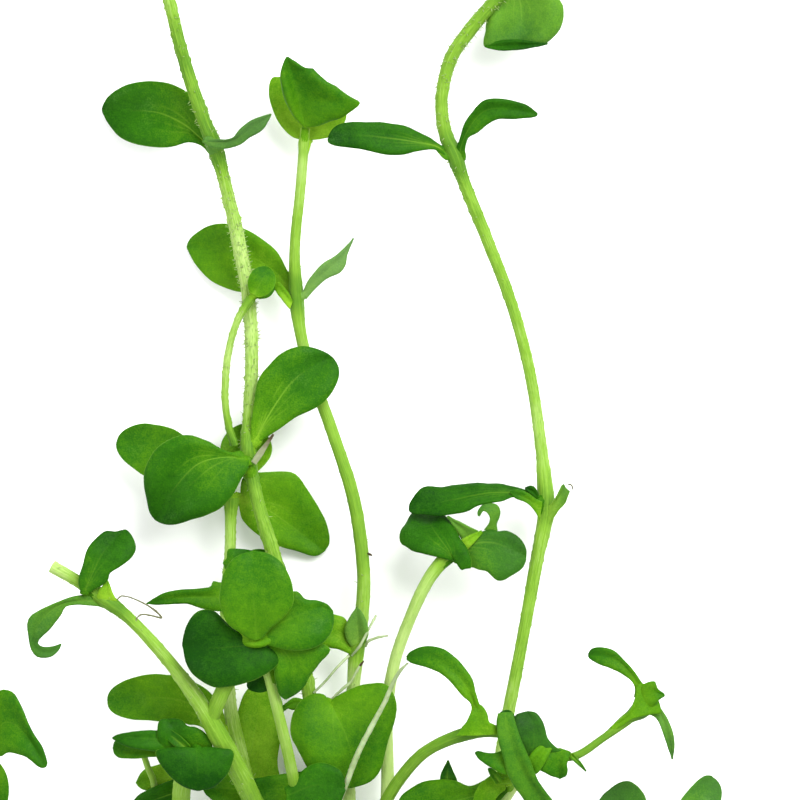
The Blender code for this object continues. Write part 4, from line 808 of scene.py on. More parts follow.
class Number:
    """A number in a node graph, so that a sum on it reads as plain Python."""

    def __init__(self, graph, socket):
        self.graph = graph
        self.socket = socket

    __add__ = __radd__ = math_method("ADD")
    __sub__ = math_method("SUBTRACT")
    __rsub__ = math_method("SUBTRACT", turned=True)
    __mul__ = __rmul__ = math_method("MULTIPLY")
    __truediv__ = math_method("DIVIDE")
    __pow__ = math_method("POWER")
    __abs__ = math_method("ABSOLUTE")
    least = math_method("MINIMUM")
    most = math_method("MAXIMUM")
    exponent = math_method("EXPONENT")
    cosine = math_method("COSINE")
    sine = math_method("SINE")

    def sibling(self, output):
        """Return another output of the node that this number comes from."""
        return Number(self.graph, self.socket.node.outputs[output])

    def swing(self, amount):
        """Centre noise on 0, so that it swings by half an amount to each side."""
        return (self - 0.5) * amount

    def ease(self, low, high):
        """Rise smoothly from 0 at low to 1 at high."""
        return self.graph.node("ShaderNodeMapRange", {"interpolation_type": "SMOOTHSTEP"},
                               {"Value": self, "From Min": low, "From Max": high})


# The places of a Mix node's colour sockets.
MIX_FIRST, MIX_SECOND, MIX_RESULT = 6, 7, 2


def set_stops(elements, stops):
    """Give a colour ramp its (position, colour) stops."""
    while len(elements) < len(stops):
        elements.new(1.0)
    for element, (position, tint) in zip(elements, stops):
        element.position = position
        element.color = (*tint, 1.0)


class Graph:
    """A node tree that is written as expressions."""

    def __init__(self, tree):
        self.tree = tree

    def node(self, kind, settings=None, values=None, output=0):
        """Add a node, set it up, feed its sockets and return one of its outputs."""
        node = self.tree.nodes.new(kind)
        for name, value in (settings or {}).items():
            if name == "stops":
                set_stops(node.color_ramp.elements, value)
            else:
                setattr(node, name, value)
        for name, value in (values or {}).items():
            self.feed(node.inputs[name], value)
        return Number(self, node.outputs[output])

    def feed(self, socket, value):
        """Link a number or a list of them to a socket, or set the socket's own value."""
        if isinstance(value, Number):
            self.tree.links.new(value.socket, socket)
        elif isinstance(value, list):
            for part in value:
                self.tree.links.new(part.socket, socket)
        else:
            socket.default_value = value

    def noise(self, place, scale, detail=2.0):
        """Return soft random noise around 0.5."""
        return self.node("ShaderNodeTexNoise", None, {"Vector": place, "Scale": scale, "Detail": detail})

    def point(self, x, y, z):
        """Join three numbers to a point."""
        return self.node("ShaderNodeCombineXYZ", None, {"X": x, "Y": y, "Z": z})

    def scaled(self, vector, amount):
        """Scale a vector."""
        return self.node("ShaderNodeVectorMath", {"operation": "SCALE"}, {"Vector": vector, "Scale": amount})


class SurfaceGraph(Graph):
    """The node tree of a material."""

    def attribute(self, name):
        """Return a value that is stored on the surface."""
        return self.node("ShaderNodeAttribute", {"attribute_name": name}, output="Fac")

    def place(self):
        """Return the place on the piece."""
        return self.node("ShaderNodeTexCoord", output="Object")

    def streaks(self, around, along, detail=2.0):
        """Return noise that is drawn out along a stem."""
        spot = self.point(self.attribute("round_x") * around, self.attribute("round_y") * around,
                          self.attribute("run") * along)
        return self.noise(spot, 1.0, detail)

    def mixed(self, amount, first, second):
        """Blend two colours, each from a node or a setting."""
        first, second = (tint if isinstance(tint, Number) else (*tint, 1.0) for tint in (first, second))
        return self.node("ShaderNodeMix", {"data_type": "RGBA"},
                         {0: amount, MIX_FIRST: first, MIX_SECOND: second}, MIX_RESULT)

    def ramp(self, amount, positions, colours):
        """Pass a number through a colour ramp."""
        return self.node("ShaderNodeValToRGB", {"stops": list(zip(positions, colours))}, {"Fac": amount})

    def bump(self, height, distance, strength):
        """Turn a height into a bump of the given depth."""
        return self.node("ShaderNodeBump", None,
                         {"Height": height, "Distance": distance, "Strength": strength})


class ShapeGraph(Graph):
    """A Geometry Nodes tree whose inputs are named sizes."""

    def __init__(self, name, sizes):
        super().__init__(bpy.data.node_groups.new(name, "GeometryNodeTree"))
        self.tree.interface.new_socket("Geometry", in_out="INPUT", socket_type="NodeSocketGeometry")
        for size, kind in sizes.items():
            self.tree.interface.new_socket(size, in_out="INPUT", socket_type="NodeSocket" + kind)
        self.tree.interface.new_socket("Geometry", in_out="OUTPUT", socket_type="NodeSocketGeometry")

    def given(self, name):
        """Return one of the tree's named inputs."""
        return self.node("NodeGroupInput", output=name)

    def attribute(self, name):
        """Return a value that is stored on the points."""
        return self.node("GeometryNodeInputNamedAttribute", {"data_type": "FLOAT"}, {"Name": name})

    def kept(self, geometry, name, value):
        """Store a value on the geometry's points."""
        return self.node("GeometryNodeStoreNamedAttribute", {"data_type": "FLOAT", "domain": "POINT"},
                         {"Geometry": geometry, "Name": name, "Value": value})

    def moved(self, geometry, amount):
        """Move the geometry's points along their normals."""
        offset = self.scaled(self.node("GeometryNodeInputNormal"), amount)
        return self.node("GeometryNodeSetPosition", None, {"Geometry": geometry, "Offset": offset})

    def finished(self, geometry):
        """End the tree: real geometry, smooth, in the given material."""
        real = self.node("GeometryNodeRealizeInstances", None, {"Geometry": geometry})
        smooth = self.node("GeometryNodeSetShadeSmooth", None, {"Geometry": real})
        painted = self.node("GeometryNodeSetMaterial", None,
                            {"Geometry": smooth, "Material": self.given("Material")})
        end = self.tree.nodes.new("NodeGroupOutput")
        self.feed(end.inputs["Geometry"], painted)
        return self.tree


def grown(obj, tree, **inputs):
    """Run a Geometry Nodes tree on an object and keep the result as its plain mesh."""
    modifier = obj.modifiers.new(tree.name, "NODES")
    modifier.node_group = tree
    for item in tree.interface.items_tree:
        key = item.name.lower().replace(" ", "_")
        if item.in_out == "INPUT" and key in inputs:
            modifier[item.identifier] = inputs[key]
    depsgraph = bpy.context.evaluated_depsgraph_get()
    mesh = bpy.data.meshes.new_from_object(obj.evaluated_get(depsgraph), depsgraph=depsgraph)
    obj.modifiers.remove(modifier)
    mesh.name = obj.name
    obj.data = mesh
    return obj


def layout_point(point):
    """Turn a layout position in millimetres into a place in metres."""
    return (Vector(point) - MIDDLE) * MM


def placed(name, data):
    """Put an object with the given data in the scene."""
    obj = bpy.data.objects.new(name, data)
    bpy.context.scene.collection.objects.link(obj)
    return obj


def new_piece(name, verts, faces, edges=(), **values):
    """Make an object from layout points, with a value for each point under each given name."""
    mesh = bpy.data.meshes.new(name)
    mesh.from_pydata([layout_point(vert) for vert in verts], edges, faces)
    for key, numbers in values.items():
        mesh.attributes.new(key, "FLOAT", "POINT").data.foreach_set("value", numbers)
    return placed(name, mesh)


def reaches_along(places):
    """Return how far along a route each of its points lies."""
    return [0.0, *accumulate((after - before).length for before, after in zip(places, places[1:]))]


def smooth_route(points, share):
    """Return the point at a share of a smooth curve through a few points."""
    places = [Vector(point) for point in points]
    lengths = reaches_along(places)
    reach = share * lengths[-1]
    span = 0
    while span < len(places) - 2 and lengths[span + 1] < reach:
        span += 1
    start, end = places[span], places[span + 1]
    gap = lengths[span + 1] - lengths[span]
    along = (reach - lengths[span]) / gap

    def slope(index):
        """Return the curve's slope at one of the points."""
        if index == 0:
            return (places[1] - places[0]) / lengths[1]
        if index == len(places) - 1:
            return (places[-1] - places[-2]) / (lengths[-1] - lengths[-2])
        return (places[index + 1] - places[index - 1]) / (lengths[index + 1] - lengths[index - 1])

    square, cube = along ** 2, along ** 3
    return ((2 * cube - 3 * square + 1) * start + (cube - 2 * square + along) * gap * slope(span)
            + (3 * square - 2 * cube) * end + (cube - square) * gap * slope(span + 1))


MIDRIB_STEP = 0.02


def heading_at(points, share, step):
    """Return the way from a step before to a step after a share of a smooth curve."""
    return smooth_route(points, min(1.0, share + step)) - smooth_route(points, max(0.0, share - step))


def midrib_frames(leaf, shares):
    """Return the place, forward, right and up directions of the midrib at each share."""
    frames = []
    before, up = None, Vector((0, 0, 1))
    for share in shares:
        place = smooth_route(leaf.midrib, share)
        forward = heading_at(leaf.midrib, share, MIDRIB_STEP).normalized()
        if before:
            up = before.rotation_difference(forward) @ up
        up = (up - up.dot(forward) * forward).normalized()
        before = forward
        roll = math.radians(leaf.roll[0] + (leaf.roll[1] - leaf.roll[0]) * share)
        turned = Quaternion(forward, roll) @ up
        frames.append((place, forward, forward.cross(turned), turned))
    return frames


def half_width(half, stalk, share):
    """Return the blade's width from the midrib to one edge."""
    widest, base, tip = half
    peak = base / (base + tip)
    blade = widest * (share / peak) ** base * ((1 - share) / (1 - peak)) ** tip
    return math.hypot(blade, stalk * (1 - share) ** 3)


def leaf_tone_and_painted_light(leaf, across, share):
    """Return how light the leaf is at a point, with its painted light and shade."""
    left, right, tip = leaf.tones_and_painted_light
    blend = (1 + across) / 2
    middle = left + (right - left) * (3 * blend ** 2 - 2 * blend ** 3)
    return middle + (tip - middle) * share ** 2


def spread_value(values, share):
    """Return the value at a share of the way through evenly spaced values."""
    place = share * (len(values) - 1)
    first = min(int(place), len(values) - 2)
    return values[first] + (values[first + 1] - values[first]) * (place - first)


SHEATH_SIDES = 16
SHEATH_STEPS = 15
SHEATH_REACH = 6.0
SHEATH_DROP = 7
SHEATH_END = 0.12
SHEATH_WIDTH = 1.3
SHEATH_END_WIDTH = 0.9
SHEATH_END_SHARE = 0.5
SHEATH_HEIGHT, SHEATH_END_HEIGHT = 0.38, 0.14
SHEATH_SINK, SHEATH_END_SINK = 0.12, 0.1
SHEATH_STEP = 0.03
LOW_WIDTH, LOW_HEIGHT = 0.97, 0.95
SIDE_WIDTH, SIDE_HEIGHT = 0.85, 0.7
SIDE_SHARE = 0.4


def stem_below(place):
    """Return the stem's centre points from the one nearest to a place down to its root end."""
    best, best_gap = None, SHEATH_REACH
    for centres in STEM_CENTRES:
        for index, centre in enumerate(centres):
            gap = (Vector(centre[:3]) - place).length - centre[3]
            if gap < best_gap:
                best, best_gap = centres[index:], gap
    return best


def sheath_rings(rows, shares):
    """Return rings of points that leave the stem a little below the leaf and run into the blade's base."""
    last = min(range(len(shares)), key=lambda row: abs(shares[row] - SHEATH_END))
    base, end = rows[0], rows[last]
    foot, inside = base[HALF_COLUMNS][0], end[HALF_COLUMNS][0]
    stem = stem_below(foot)
    if stem is None:
        return []
    up = (end[-1][0] - end[0][0]).cross(inside - foot).normalized()
    low = stem[min(SHEATH_DROP, len(stem) - 1)]
    radius = stem[0][3]
    base_width = min(SHEATH_WIDTH, (base[0][1] + base[-1][1]) / 2)
    end_width = min(SHEATH_END_WIDTH, SHEATH_END_SHARE * min(end[0][1], end[-1][1]))
    middles = [Vector(low[:3]), Vector(stem[0][:3]).lerp(foot, SIDE_SHARE),
               foot - SHEATH_SINK * up, inside - SHEATH_END_SINK * up]
    widths = (LOW_WIDTH * low[3], max(SIDE_WIDTH * radius, base_width), base_width, end_width)
    heights = (LOW_HEIGHT * low[3], SIDE_HEIGHT * radius, SHEATH_HEIGHT, SHEATH_END_HEIGHT)
    rings = []
    for step in range(SHEATH_STEPS):
        share = step / (SHEATH_STEPS - 1)
        centre = smooth_route(middles, share)
        ahead = heading_at(middles, share, SHEATH_STEP)
        right = ahead.cross(up).normalized()
        over = right.cross(ahead).normalized()
        width, height = spread_value(widths, share), spread_value(heights, share)
        turns = [2 * math.pi * side / SHEATH_SIDES for side in range(SHEATH_SIDES)]
        rings.append([centre + width * math.cos(turn) * right + height * math.sin(turn) * over
                      for turn in turns])
    return rings


def build_leaf(leaf, tree, material):
    """Lay out the blade's middle surface and its sheath, and let the tree flesh them out."""
    shares = [math.sin(math.pi / 2 * row / LEAF_ROWS) ** 2 for row in range(LEAF_ROWS + 1)]
    rows = leaf.rows(shares)
    verts, faces = [], []
    # tone holds the leaf's green with painted light and shade, and dusty a painted grey sheen.
    values = {"across": [], "along": [], "half": [], "tone": [], "sheath": [], "veined": [], "dusty": []}

    def add(point, across, along, half, tone, sheath):
        """Add a point with its values."""
        verts.append(point)
        for key, number in zip(values, (across, along, half * MM, tone, sheath, leaf.veins, leaf.dusty)):
            values[key].append(number)

    for share, row in zip(shares, rows):
        for across, (point, half) in zip(COLUMNS, row):
            add(point, across, share, half, leaf_tone_and_painted_light(leaf, across, share), 0.0)
    wide = len(COLUMNS)
    for row in range(LEAF_ROWS):
        for column in range(wide - 1):
            corner = row * wide + column
            faces.append((corner, corner + 1, corner + wide + 1, corner + wide))
    rings = sheath_rings(rows, shares) if leaf.sheath else []
    # The sheath takes the painted light and shade of the blade's foot.
    base_tone_and_painted_light = leaf_tone_and_painted_light(leaf, 0.0, 0.0)
    for ring_number, ring in enumerate(rings):
        first = len(verts)
        for point in ring:
            add(point, 0.0, 0.0, 1.0, base_tone_and_painted_light, 1.0)
        if ring_number:
            before = first - SHEATH_SIDES
            for side in range(SHEATH_SIDES):
                after = (side + 1) % SHEATH_SIDES
                faces.append((before + side, before + after, first + after, first + side))
        else:
            faces.append(tuple(range(first + SHEATH_SIDES - 1, first - 1, -1)))
    if rings:
        faces.append(tuple(range(len(verts) - SHEATH_SIDES, len(verts))))
    look = bpy.context.scene.bacopa_leaves
    piece = new_piece(f"{leaf.name}_blade", verts, faces, **values)
    return grown(piece, tree, thickness=look.thickness, vein_depth=look.vein_depth,
                 ripple_height=look.ripple_height, puff_height=look.puff_height, material=material)


MIDRIB_FADE = (0.25, 0.85)
VEINS = ((0.24, 0.15, 0.7), (0.5, 0.1, 0.55), (0.76, 0.05, 0.4))
VEIN_GATHERING = 0.3
VEIN_SPREAD_END = 0.5
VEIN_START = 0.12
MIDDLE_VEIN = 0.8
OUTER_VEIN = 0.6


def vein_mask(across, along, half, width):
    """Return how much of a point lies on the midrib, and how much on a side vein.

    VEINS gives each side vein's place between the midrib and the edge, and
    where along the blade it begins and ends to fade.
    """
    edge = abs(across)

    def line(offset, fade):
        """Return a soft line, 1 where the offset is 0."""
        return (offset / width * (offset / width) * -1.0).exponent() * fade

    midrib = line(edge * half, 1.0 - along.ease(*MIDRIB_FADE))
    spread = VEIN_GATHERING + (1.0 - VEIN_GATHERING) * along.ease(0.0, VEIN_SPREAD_END)
    inner, middle, outer = (
        line((edge - spread * place) * half, along.ease(0.0, VEIN_START) * (1.0 - along.ease(fading, end)))
        for place, fading, end in VEINS)
    return midrib, inner.most(middle * MIDDLE_VEIN).most(outer * OUTER_VEIN)


GROOVE_WIDTH = 0.36 * MM
VEIN_WIDTH = 0.16 * MM
RIPPLES = 130.0
PUFFS = 380.0
SIDE_VEIN_DEPTH = 0.5
UNDER_VEIN_HEIGHT = 0.8
RIM_SQUARENESS = 6.0
BASE_ROUNDING = 0.02
TIP_ROUNDING = 0.012
EDGE_THINNING = 0.25
WELD_GAP = 0.004 * MM


def fleshy_blade_tree():
    """Give a flat blade its thickness, rounded rim, grooved veins and gentle ripples."""
    graph = ShapeGraph("fleshy blade", {
        "Thickness": "Float", "Vein Depth": "Float", "Ripple Height": "Float", "Puff Height": "Float",
        "Material": "Material"})
    across, along, half = (graph.attribute(name) for name in ("across", "along", "half"))
    is_sheath = graph.node("FunctionNodeCompare", {"data_type": "FLOAT", "operation": "GREATER_THAN"},
                           {0: graph.attribute("sheath"), 1: 0.5})
    parts = graph.node("GeometryNodeSeparateGeometry", None,
                       {"Geometry": graph.given("Geometry"), "Selection": is_sheath})
    sheath, flat = parts, parts.sibling(1)

    edge = abs(across)
    place = graph.node("GeometryNodeInputPosition")
    ripple = graph.noise(place, RIPPLES, detail=1.0).swing(graph.given("Ripple Height")) * edge * edge
    puff = graph.noise(place, PUFFS).swing(graph.given("Puff Height"))
    rippled = graph.moved(flat, ripple + puff)

    midrib, side = vein_mask(across, along, half, GROOVE_WIDTH)
    relief = (midrib + side * SIDE_VEIN_DEPTH) * graph.attribute("veined") * graph.given("Vein Depth")
    rim = (1.0 - edge ** RIM_SQUARENESS).most(0.0) ** 0.5
    ends = ((along / BASE_ROUNDING).least(1.0) * ((1.0 - along) / TIP_ROUNDING).least(1.0)) ** 0.5
    wall = graph.given("Thickness") * 0.5 * rim * ends * (1.0 - edge * EDGE_THINNING)
    upper = graph.kept(graph.moved(rippled, wall - relief * ends * rim), "under", 0.0)
    drop = (wall + relief * UNDER_VEIN_HEIGHT * ends * rim) * -1.0
    lower = graph.kept(graph.moved(rippled, drop), "under", 1.0)
    turned = graph.node("GeometryNodeFlipFaces", None, {"Mesh": lower})
    sides = graph.node("GeometryNodeJoinGeometry", None, {"Geometry": [upper, turned]})
    blade = graph.node("GeometryNodeMergeByDistance", None, {"Geometry": sides, "Distance": WELD_GAP})
    whole = graph.node("GeometryNodeJoinGeometry", None, {"Geometry": [blade, sheath]})
    return graph.finished(whole)


STEM_STEP = 0.45
FEWEST_STEPS = 8
REACH_SLACK = 1e-6
ROOTSTOCK_STEPS = 40
ROOTING_REACH = 9.0
ROOTING_LEAD = 3.0
NODE_REACH = 3.4


def rooted(stem):
    """Return the stem, run on into the rootstock where an end of it stops just short."""
    rootstock, route = STEMS[0], list(stem.route)
    if stem is rootstock:
        return stem
    for end, inner in ((0, 1), (-1, -2)):
        place = Vector(route[end][:3])
        ahead = place + (place - Vector(route[inner][:3])).normalized() * ROOTING_LEAD
        span = [smooth_route([point[:3] for point in rootstock.route], step / ROOTSTOCK_STEPS)
                for step in range(1, ROOTSTOCK_STEPS)]
        nearest = min(span, key=lambda point: (point - ahead).length)
        if (nearest - place).length < ROOTING_REACH:
            foot = [(*nearest, route[end][3])]
            route = foot + route if end == 0 else route + foot
    return replace(stem, route=route)


def stem_centre_points(stem):
    """Return points along the stem's centre line, each (x, y, z, radius) in millimetres."""
    route = [Vector(point[:3]) for point in stem.route]
    reaches = reaches_along(route)
    count = max(FEWEST_STEPS, round(reaches[-1] / STEM_STEP))
    points = []
    for step in range(count + 1):
        reach = step / count * reaches[-1]
        span = max(index for index in range(len(route) - 1) if reaches[index] <= reach + REACH_SLACK)
        part = (reach - reaches[span]) / (reaches[span + 1] - reaches[span])
        eased = 3 * part ** 2 - 2 * part ** 3
        radius = stem.route[span][3] + (stem.route[span + 1][3] - stem.route[span][3]) * eased
        points.append((*smooth_route(route, step / count), radius))
    return points


def node_closeness(point):
    """Return 1 at a leaf's foot on the stem, falling to 0 a few millimetres away."""
    place = Vector(point[:3])
    nearest = min((place - foot).length for foot in LEAF_FEET)
    return math.exp(-((nearest - point[3]) / NODE_REACH) ** 2)


def build_stem(stem, tree, material, seed=0):
    """Lay out the stem's centre line and let the tree sweep the ribbed skin along it."""
    points = stem_centre_points(stem)
    last = len(points) - 1
    shares = [number / last for number in range(last + 1)]
    # The tone stored on the stem holds its colour with painted light and shade.
    piece = new_piece(
        f"{stem.name}_skin", [point[:3] for point in points], [], [(n, n + 1) for n in range(last)],
        radius=[point[3] * MM for point in points],
        tone=[spread_value(stem.tones_and_painted_light, share) for share in shares],
        node=[node_closeness(point) for point in points],
        rough=[stem.rough] * len(points),
        hair_density=[spread_value(stem.hairs, share) / MM ** 2 for share in shares])
    look = bpy.context.scene.bacopa_stems
    return grown(piece, tree, sides=look.sides, rib_count=look.rib_count, rib_depth=look.rib_depth,
                 wart_height=look.wart_height * stem.rough, hair_length=look.hair_length, seed=seed,
                 material=material)


WARTS = 1100.0
WART_RISE = (0.56, 0.7)
LUMPS = 260.0
HAIR_SIDES = 5
HAIR_SEGMENTS = 3
HAIR_ROOT = 0.09 * MM
HAIR_TIP = 0.03 * MM
HAIR_TILT = 0.7


def ribbed_stem_tree():
    """Sweep a ribbed round skin along a centre line, with low warts, closed ends and short hairs."""
    graph = ShapeGraph("ribbed stem", {
        "Sides": "Int", "Rib Count": "Int", "Rib Depth": "Float", "Wart Height": "Float",
        "Hair Length": "Float", "Seed": "Int", "Material": "Material"})
    line = graph.node("GeometryNodeMeshToCurve", None, {"Mesh": graph.given("Geometry")})
    line = graph.kept(line, "run", graph.node("GeometryNodeSplineParameter", output="Length"))
    angle = graph.node("GeometryNodeSplineParameter", output="Factor") * math.tau
    ring = graph.node("GeometryNodeCurvePrimitiveCircle", {"mode": "RADIUS"},
                      {"Resolution": graph.given("Sides"), "Radius": 1.0})
    ribs = (angle * graph.given("Rib Count")).cosine() * graph.given("Rib Depth") + 1.0
    ribbed = graph.scaled(graph.node("GeometryNodeInputPosition"), ribs)
    ring = graph.node("GeometryNodeSetPosition", None, {"Geometry": ring, "Position": ribbed})
    ring = graph.kept(ring, "round_x", angle.cosine())
    ring = graph.kept(ring, "round_y", angle.sine())
    skin = graph.node("GeometryNodeCurveToMesh", None, {
        "Curve": line, "Profile Curve": ring, "Scale": graph.attribute("radius"), "Fill Caps": True})
    place = graph.node("GeometryNodeInputPosition")
    wart = graph.noise(place, WARTS, detail=1.0).ease(*WART_RISE) * graph.given("Wart Height")
    lump = graph.noise(place, LUMPS, detail=1.0).swing(graph.given("Wart Height"))
    skin = graph.moved(skin, wart + lump)

    spots = graph.node("GeometryNodeDistributePointsOnFaces", None, {
        "Mesh": skin, "Density": graph.attribute("hair_density"), "Seed": graph.given("Seed")})
    hair = graph.node("GeometryNodeMeshCone", None, {
        "Vertices": HAIR_SIDES, "Side Segments": HAIR_SEGMENTS, "Radius Top": HAIR_TIP,
        "Radius Bottom": HAIR_ROOT, "Depth": graph.given("Hair Length")})
    hairs = graph.node("GeometryNodeInstanceOnPoints", None, {
        "Points": spots, "Instance": graph.kept(hair, "hair", 1.0), "Rotation": spots.sibling("Rotation")})
    tilt = graph.node("FunctionNodeRandomValue", {"data_type": "FLOAT_VECTOR"}, {
        0: (-HAIR_TILT,) * 3, 1: (HAIR_TILT,) * 3, "Seed": graph.given("Seed")})
    tilted = graph.node("GeometryNodeRotateInstances", None, {"Instances": hairs, "Rotation": tilt})
    return graph.finished(graph.node("GeometryNodeJoinGeometry", None, {"Geometry": [skin, tilted]}))


CUT_RINGS = 6
CUT_SIDES = 28
CUT_DISH = 0.12
CUT_FIT = 0.99
CUT_LIFT = 0.02
FIBRE_HEIGHT = 0.05
FIBRES_OUTWARD = 9
FIBRES_AROUND = 2


def build_cut_end(stem, material):
    """Close the start of a stem with a dished, fibrous cut face."""
    points = stem_centre_points(stem)
    centre, radius = Vector(points[0][:3]), points[0][3] * CUT_FIT
    outward = (centre - Vector(points[2][:3])).normalized()
    across = outward.cross(Vector((0, 0, 1))).normalized()
    upward = across.cross(outward)
    verts, ring_share = [centre + CUT_LIFT * outward - CUT_DISH * outward], [0.0]
    for ring in range(1, CUT_RINGS + 1):
        share = ring / CUT_RINGS
        reach = radius * share
        for side in range(CUT_SIDES):
            turn = 2 * math.pi * side / CUT_SIDES
            fibre = FIBRE_HEIGHT * noise.noise(Vector((FIBRES_OUTWARD * share, FIBRES_AROUND * turn, 0)))
            depth = CUT_DISH * (1 - share ** 2) - CUT_LIFT + fibre
            verts.append(centre + reach * math.cos(turn) * across + reach * math.sin(turn) * upward
                         - depth * outward)
            ring_share.append(share)
    faces = []
    for side in range(CUT_SIDES):
        after = (side + 1) % CUT_SIDES
        faces.append((0, 1 + side, 1 + after))
        for ring in range(CUT_RINGS - 1):
            first = 1 + ring * CUT_SIDES
            faces.append((first + side, first + CUT_SIDES + side, first + CUT_SIDES + after, first + after))
    piece = new_piece(f"{stem.name}_cut_face", verts, faces, ring=ring_share)
    piece.data.materials.append(material)
    return piece


def new_material(name, **constants):
    """Make a material with the given shader values, and return it with its graph and shader."""
    material = bpy.data.materials.new(name)
    material.use_nodes = True
    shader = material.node_tree.nodes["Principled BSDF"]
    for key, value in constants.items():
        shader.inputs[key.replace("_", " ").title().replace("Ior", "IOR")].default_value = value
    return material, SurfaceGraph(material.node_tree), shader


def shade(graph, shader, tint, roughness, height, depth, strength=1.0):
    """Give the shader its colour, its roughness and bumps of a depth."""
    graph.feed(shader.inputs["Base Color"], tint)
    graph.feed(shader.inputs["Roughness"], roughness)
    graph.feed(shader.inputs["Normal"], graph.bump(height, depth, strength))


# Steps along a leaf's greens, from 0 at its deepest to 1 at its palest, and where its marks begin and end;
# the speckled grey marks are a painted sheen.
LEAF_GREEN_STOPS = (0.0, 0.33, 0.66, 1.0)
LEAF_PALENESS, UNDER_PALENESS = 0.04, 0.1
TIP_DARKENING, TIP_SPAN = 0.12, (0.3, 1.0)
FOOT_FADE, FOOT_NARROWING = 5.0, 0.6
FOOT_PALENESS, VEINED_FOOT_PALENESS = 0.14, 0.2
CLOUDING, MOTTLING = 0.42, 0.25
SPECKLING, VEINED_SPECKLING = 0.3, 0.14
MIDRIB_PALENESS, SIDE_VEIN_PALENESS, VEIN_GAPS = 0.7, 0.55, (0.3, 0.6)
RIM_START, RIM_PALENESS = 0.965, 0.35
PAINTED_SHEEN_PATCHES, PAINTED_SHEEN_SPECKS, PAINTED_SHEEN_SPAN = (0.5, 0.72), (0.42, 0.62), (0.2, 0.8)
PAINTED_SHEEN_COVER, SHEEN_COAT = 0.03, 0.12
GREY_SHEEN_COVER, GREY_SHEEN_SPECKLING = 0.7, 0.3


def leaf_material():
    """Leaf green with painted light and shade, paler at its foot and veins, mottled, with a speckled sheen
    painted into its colour and given a coat.
    """
    look = bpy.context.scene.bacopa_leaves
    material, graph, shader = new_material(
        "bacopa_leaf_skin", subsurface_weight=0.08, subsurface_scale=0.5 * MM,
        subsurface_radius=(0.4, 1.0, 0.1), specular_ior_level=0.04, coat_roughness=0.3, coat_ior=1.35)
    across, along, half, tone, under, sheath, veined, dusty = (graph.attribute(name) for name in (
        "across", "along", "half", "tone", "under", "sheath", "veined", "dusty"))
    place = graph.place()
    clouds = graph.noise(place, scale=160.0, detail=3.0)
    mottle = graph.noise(place, scale=900.0, detail=4.0)
    cells = graph.noise(place, scale=3600.0)
    edge = abs(across)
    foot = (along * -FOOT_FADE).exponent() * (1.0 - edge * FOOT_NARROWING)
    # tone brings the leaf's own green with painted light and shade into this sum.
    light = (tone + clouds.swing(CLOUDING) + mottle.swing(MOTTLING)
             + cells.swing(SPECKLING + veined * VEINED_SPECKLING)
             + foot * (FOOT_PALENESS + veined * VEINED_FOOT_PALENESS) + under * UNDER_PALENESS
             + LEAF_PALENESS - along.ease(*TIP_SPAN) * TIP_DARKENING)
    green = graph.ramp(light, LEAF_GREEN_STOPS,
                       (look.deep_green, look.dark_green, look.mid_green, look.pale_green))
    midrib, side = vein_mask(across, along, half, VEIN_WIDTH)
    veins = midrib * MIDRIB_PALENESS + side * SIDE_VEIN_PALENESS * clouds.ease(*VEIN_GAPS)
    netted = graph.mixed(veins * (1.0 - sheath) * veined, green, look.vein_green)
    rim = edge.ease(RIM_START, 1.0) * RIM_PALENESS * (1.0 - sheath)
    rimmed = graph.mixed(rim, netted, look.vein_green)
    # Speckled patches towards the tip, mixed into the colour as a painted grey sheen and given a real coat as
    # well.
    painted_sheen = (graph.noise(place, scale=260.0).ease(*PAINTED_SHEEN_PATCHES) * cells.ease(*PAINTED_SHEEN_SPECKS)
             * along.ease(*PAINTED_SHEEN_SPAN))
    # dusty paints a grey sheen over the whole leaf: a painted highlight mixed into its colour.
    painted_sheen_amount = painted_sheen * veined * PAINTED_SHEEN_COVER + dusty * (GREY_SHEEN_COVER + cells * GREY_SHEEN_SPECKLING)
    graph.feed(shader.inputs["Coat Weight"], painted_sheen * SHEEN_COAT)
    shade(graph, shader, tint=graph.mixed(painted_sheen_amount, rimmed, look.painted_sheen),
          roughness=0.42 + mottle * 0.2 + under * 0.1,
          height=cells * 0.5 + mottle - (midrib * 0.3 + side * 0.2) * veined, depth=0.09 * MM, strength=0.8)
    return material


# Steps along a stem's greens, and how strongly its streaks and dashes show.
STEM_GREEN_STOPS = (0.0, 0.35, 0.65, 1.0)
WIDE_STREAKING, FINE_STREAKING = 0.3, 0.8
STREAKING, ROUGH_STREAKING = 0.4, 0.5
STEM_CLOUDING, NODE_DARKENING = 0.3, 0.3
DASH_EDGES, DASH_DARKENING = (0.58, 0.7), 0.4


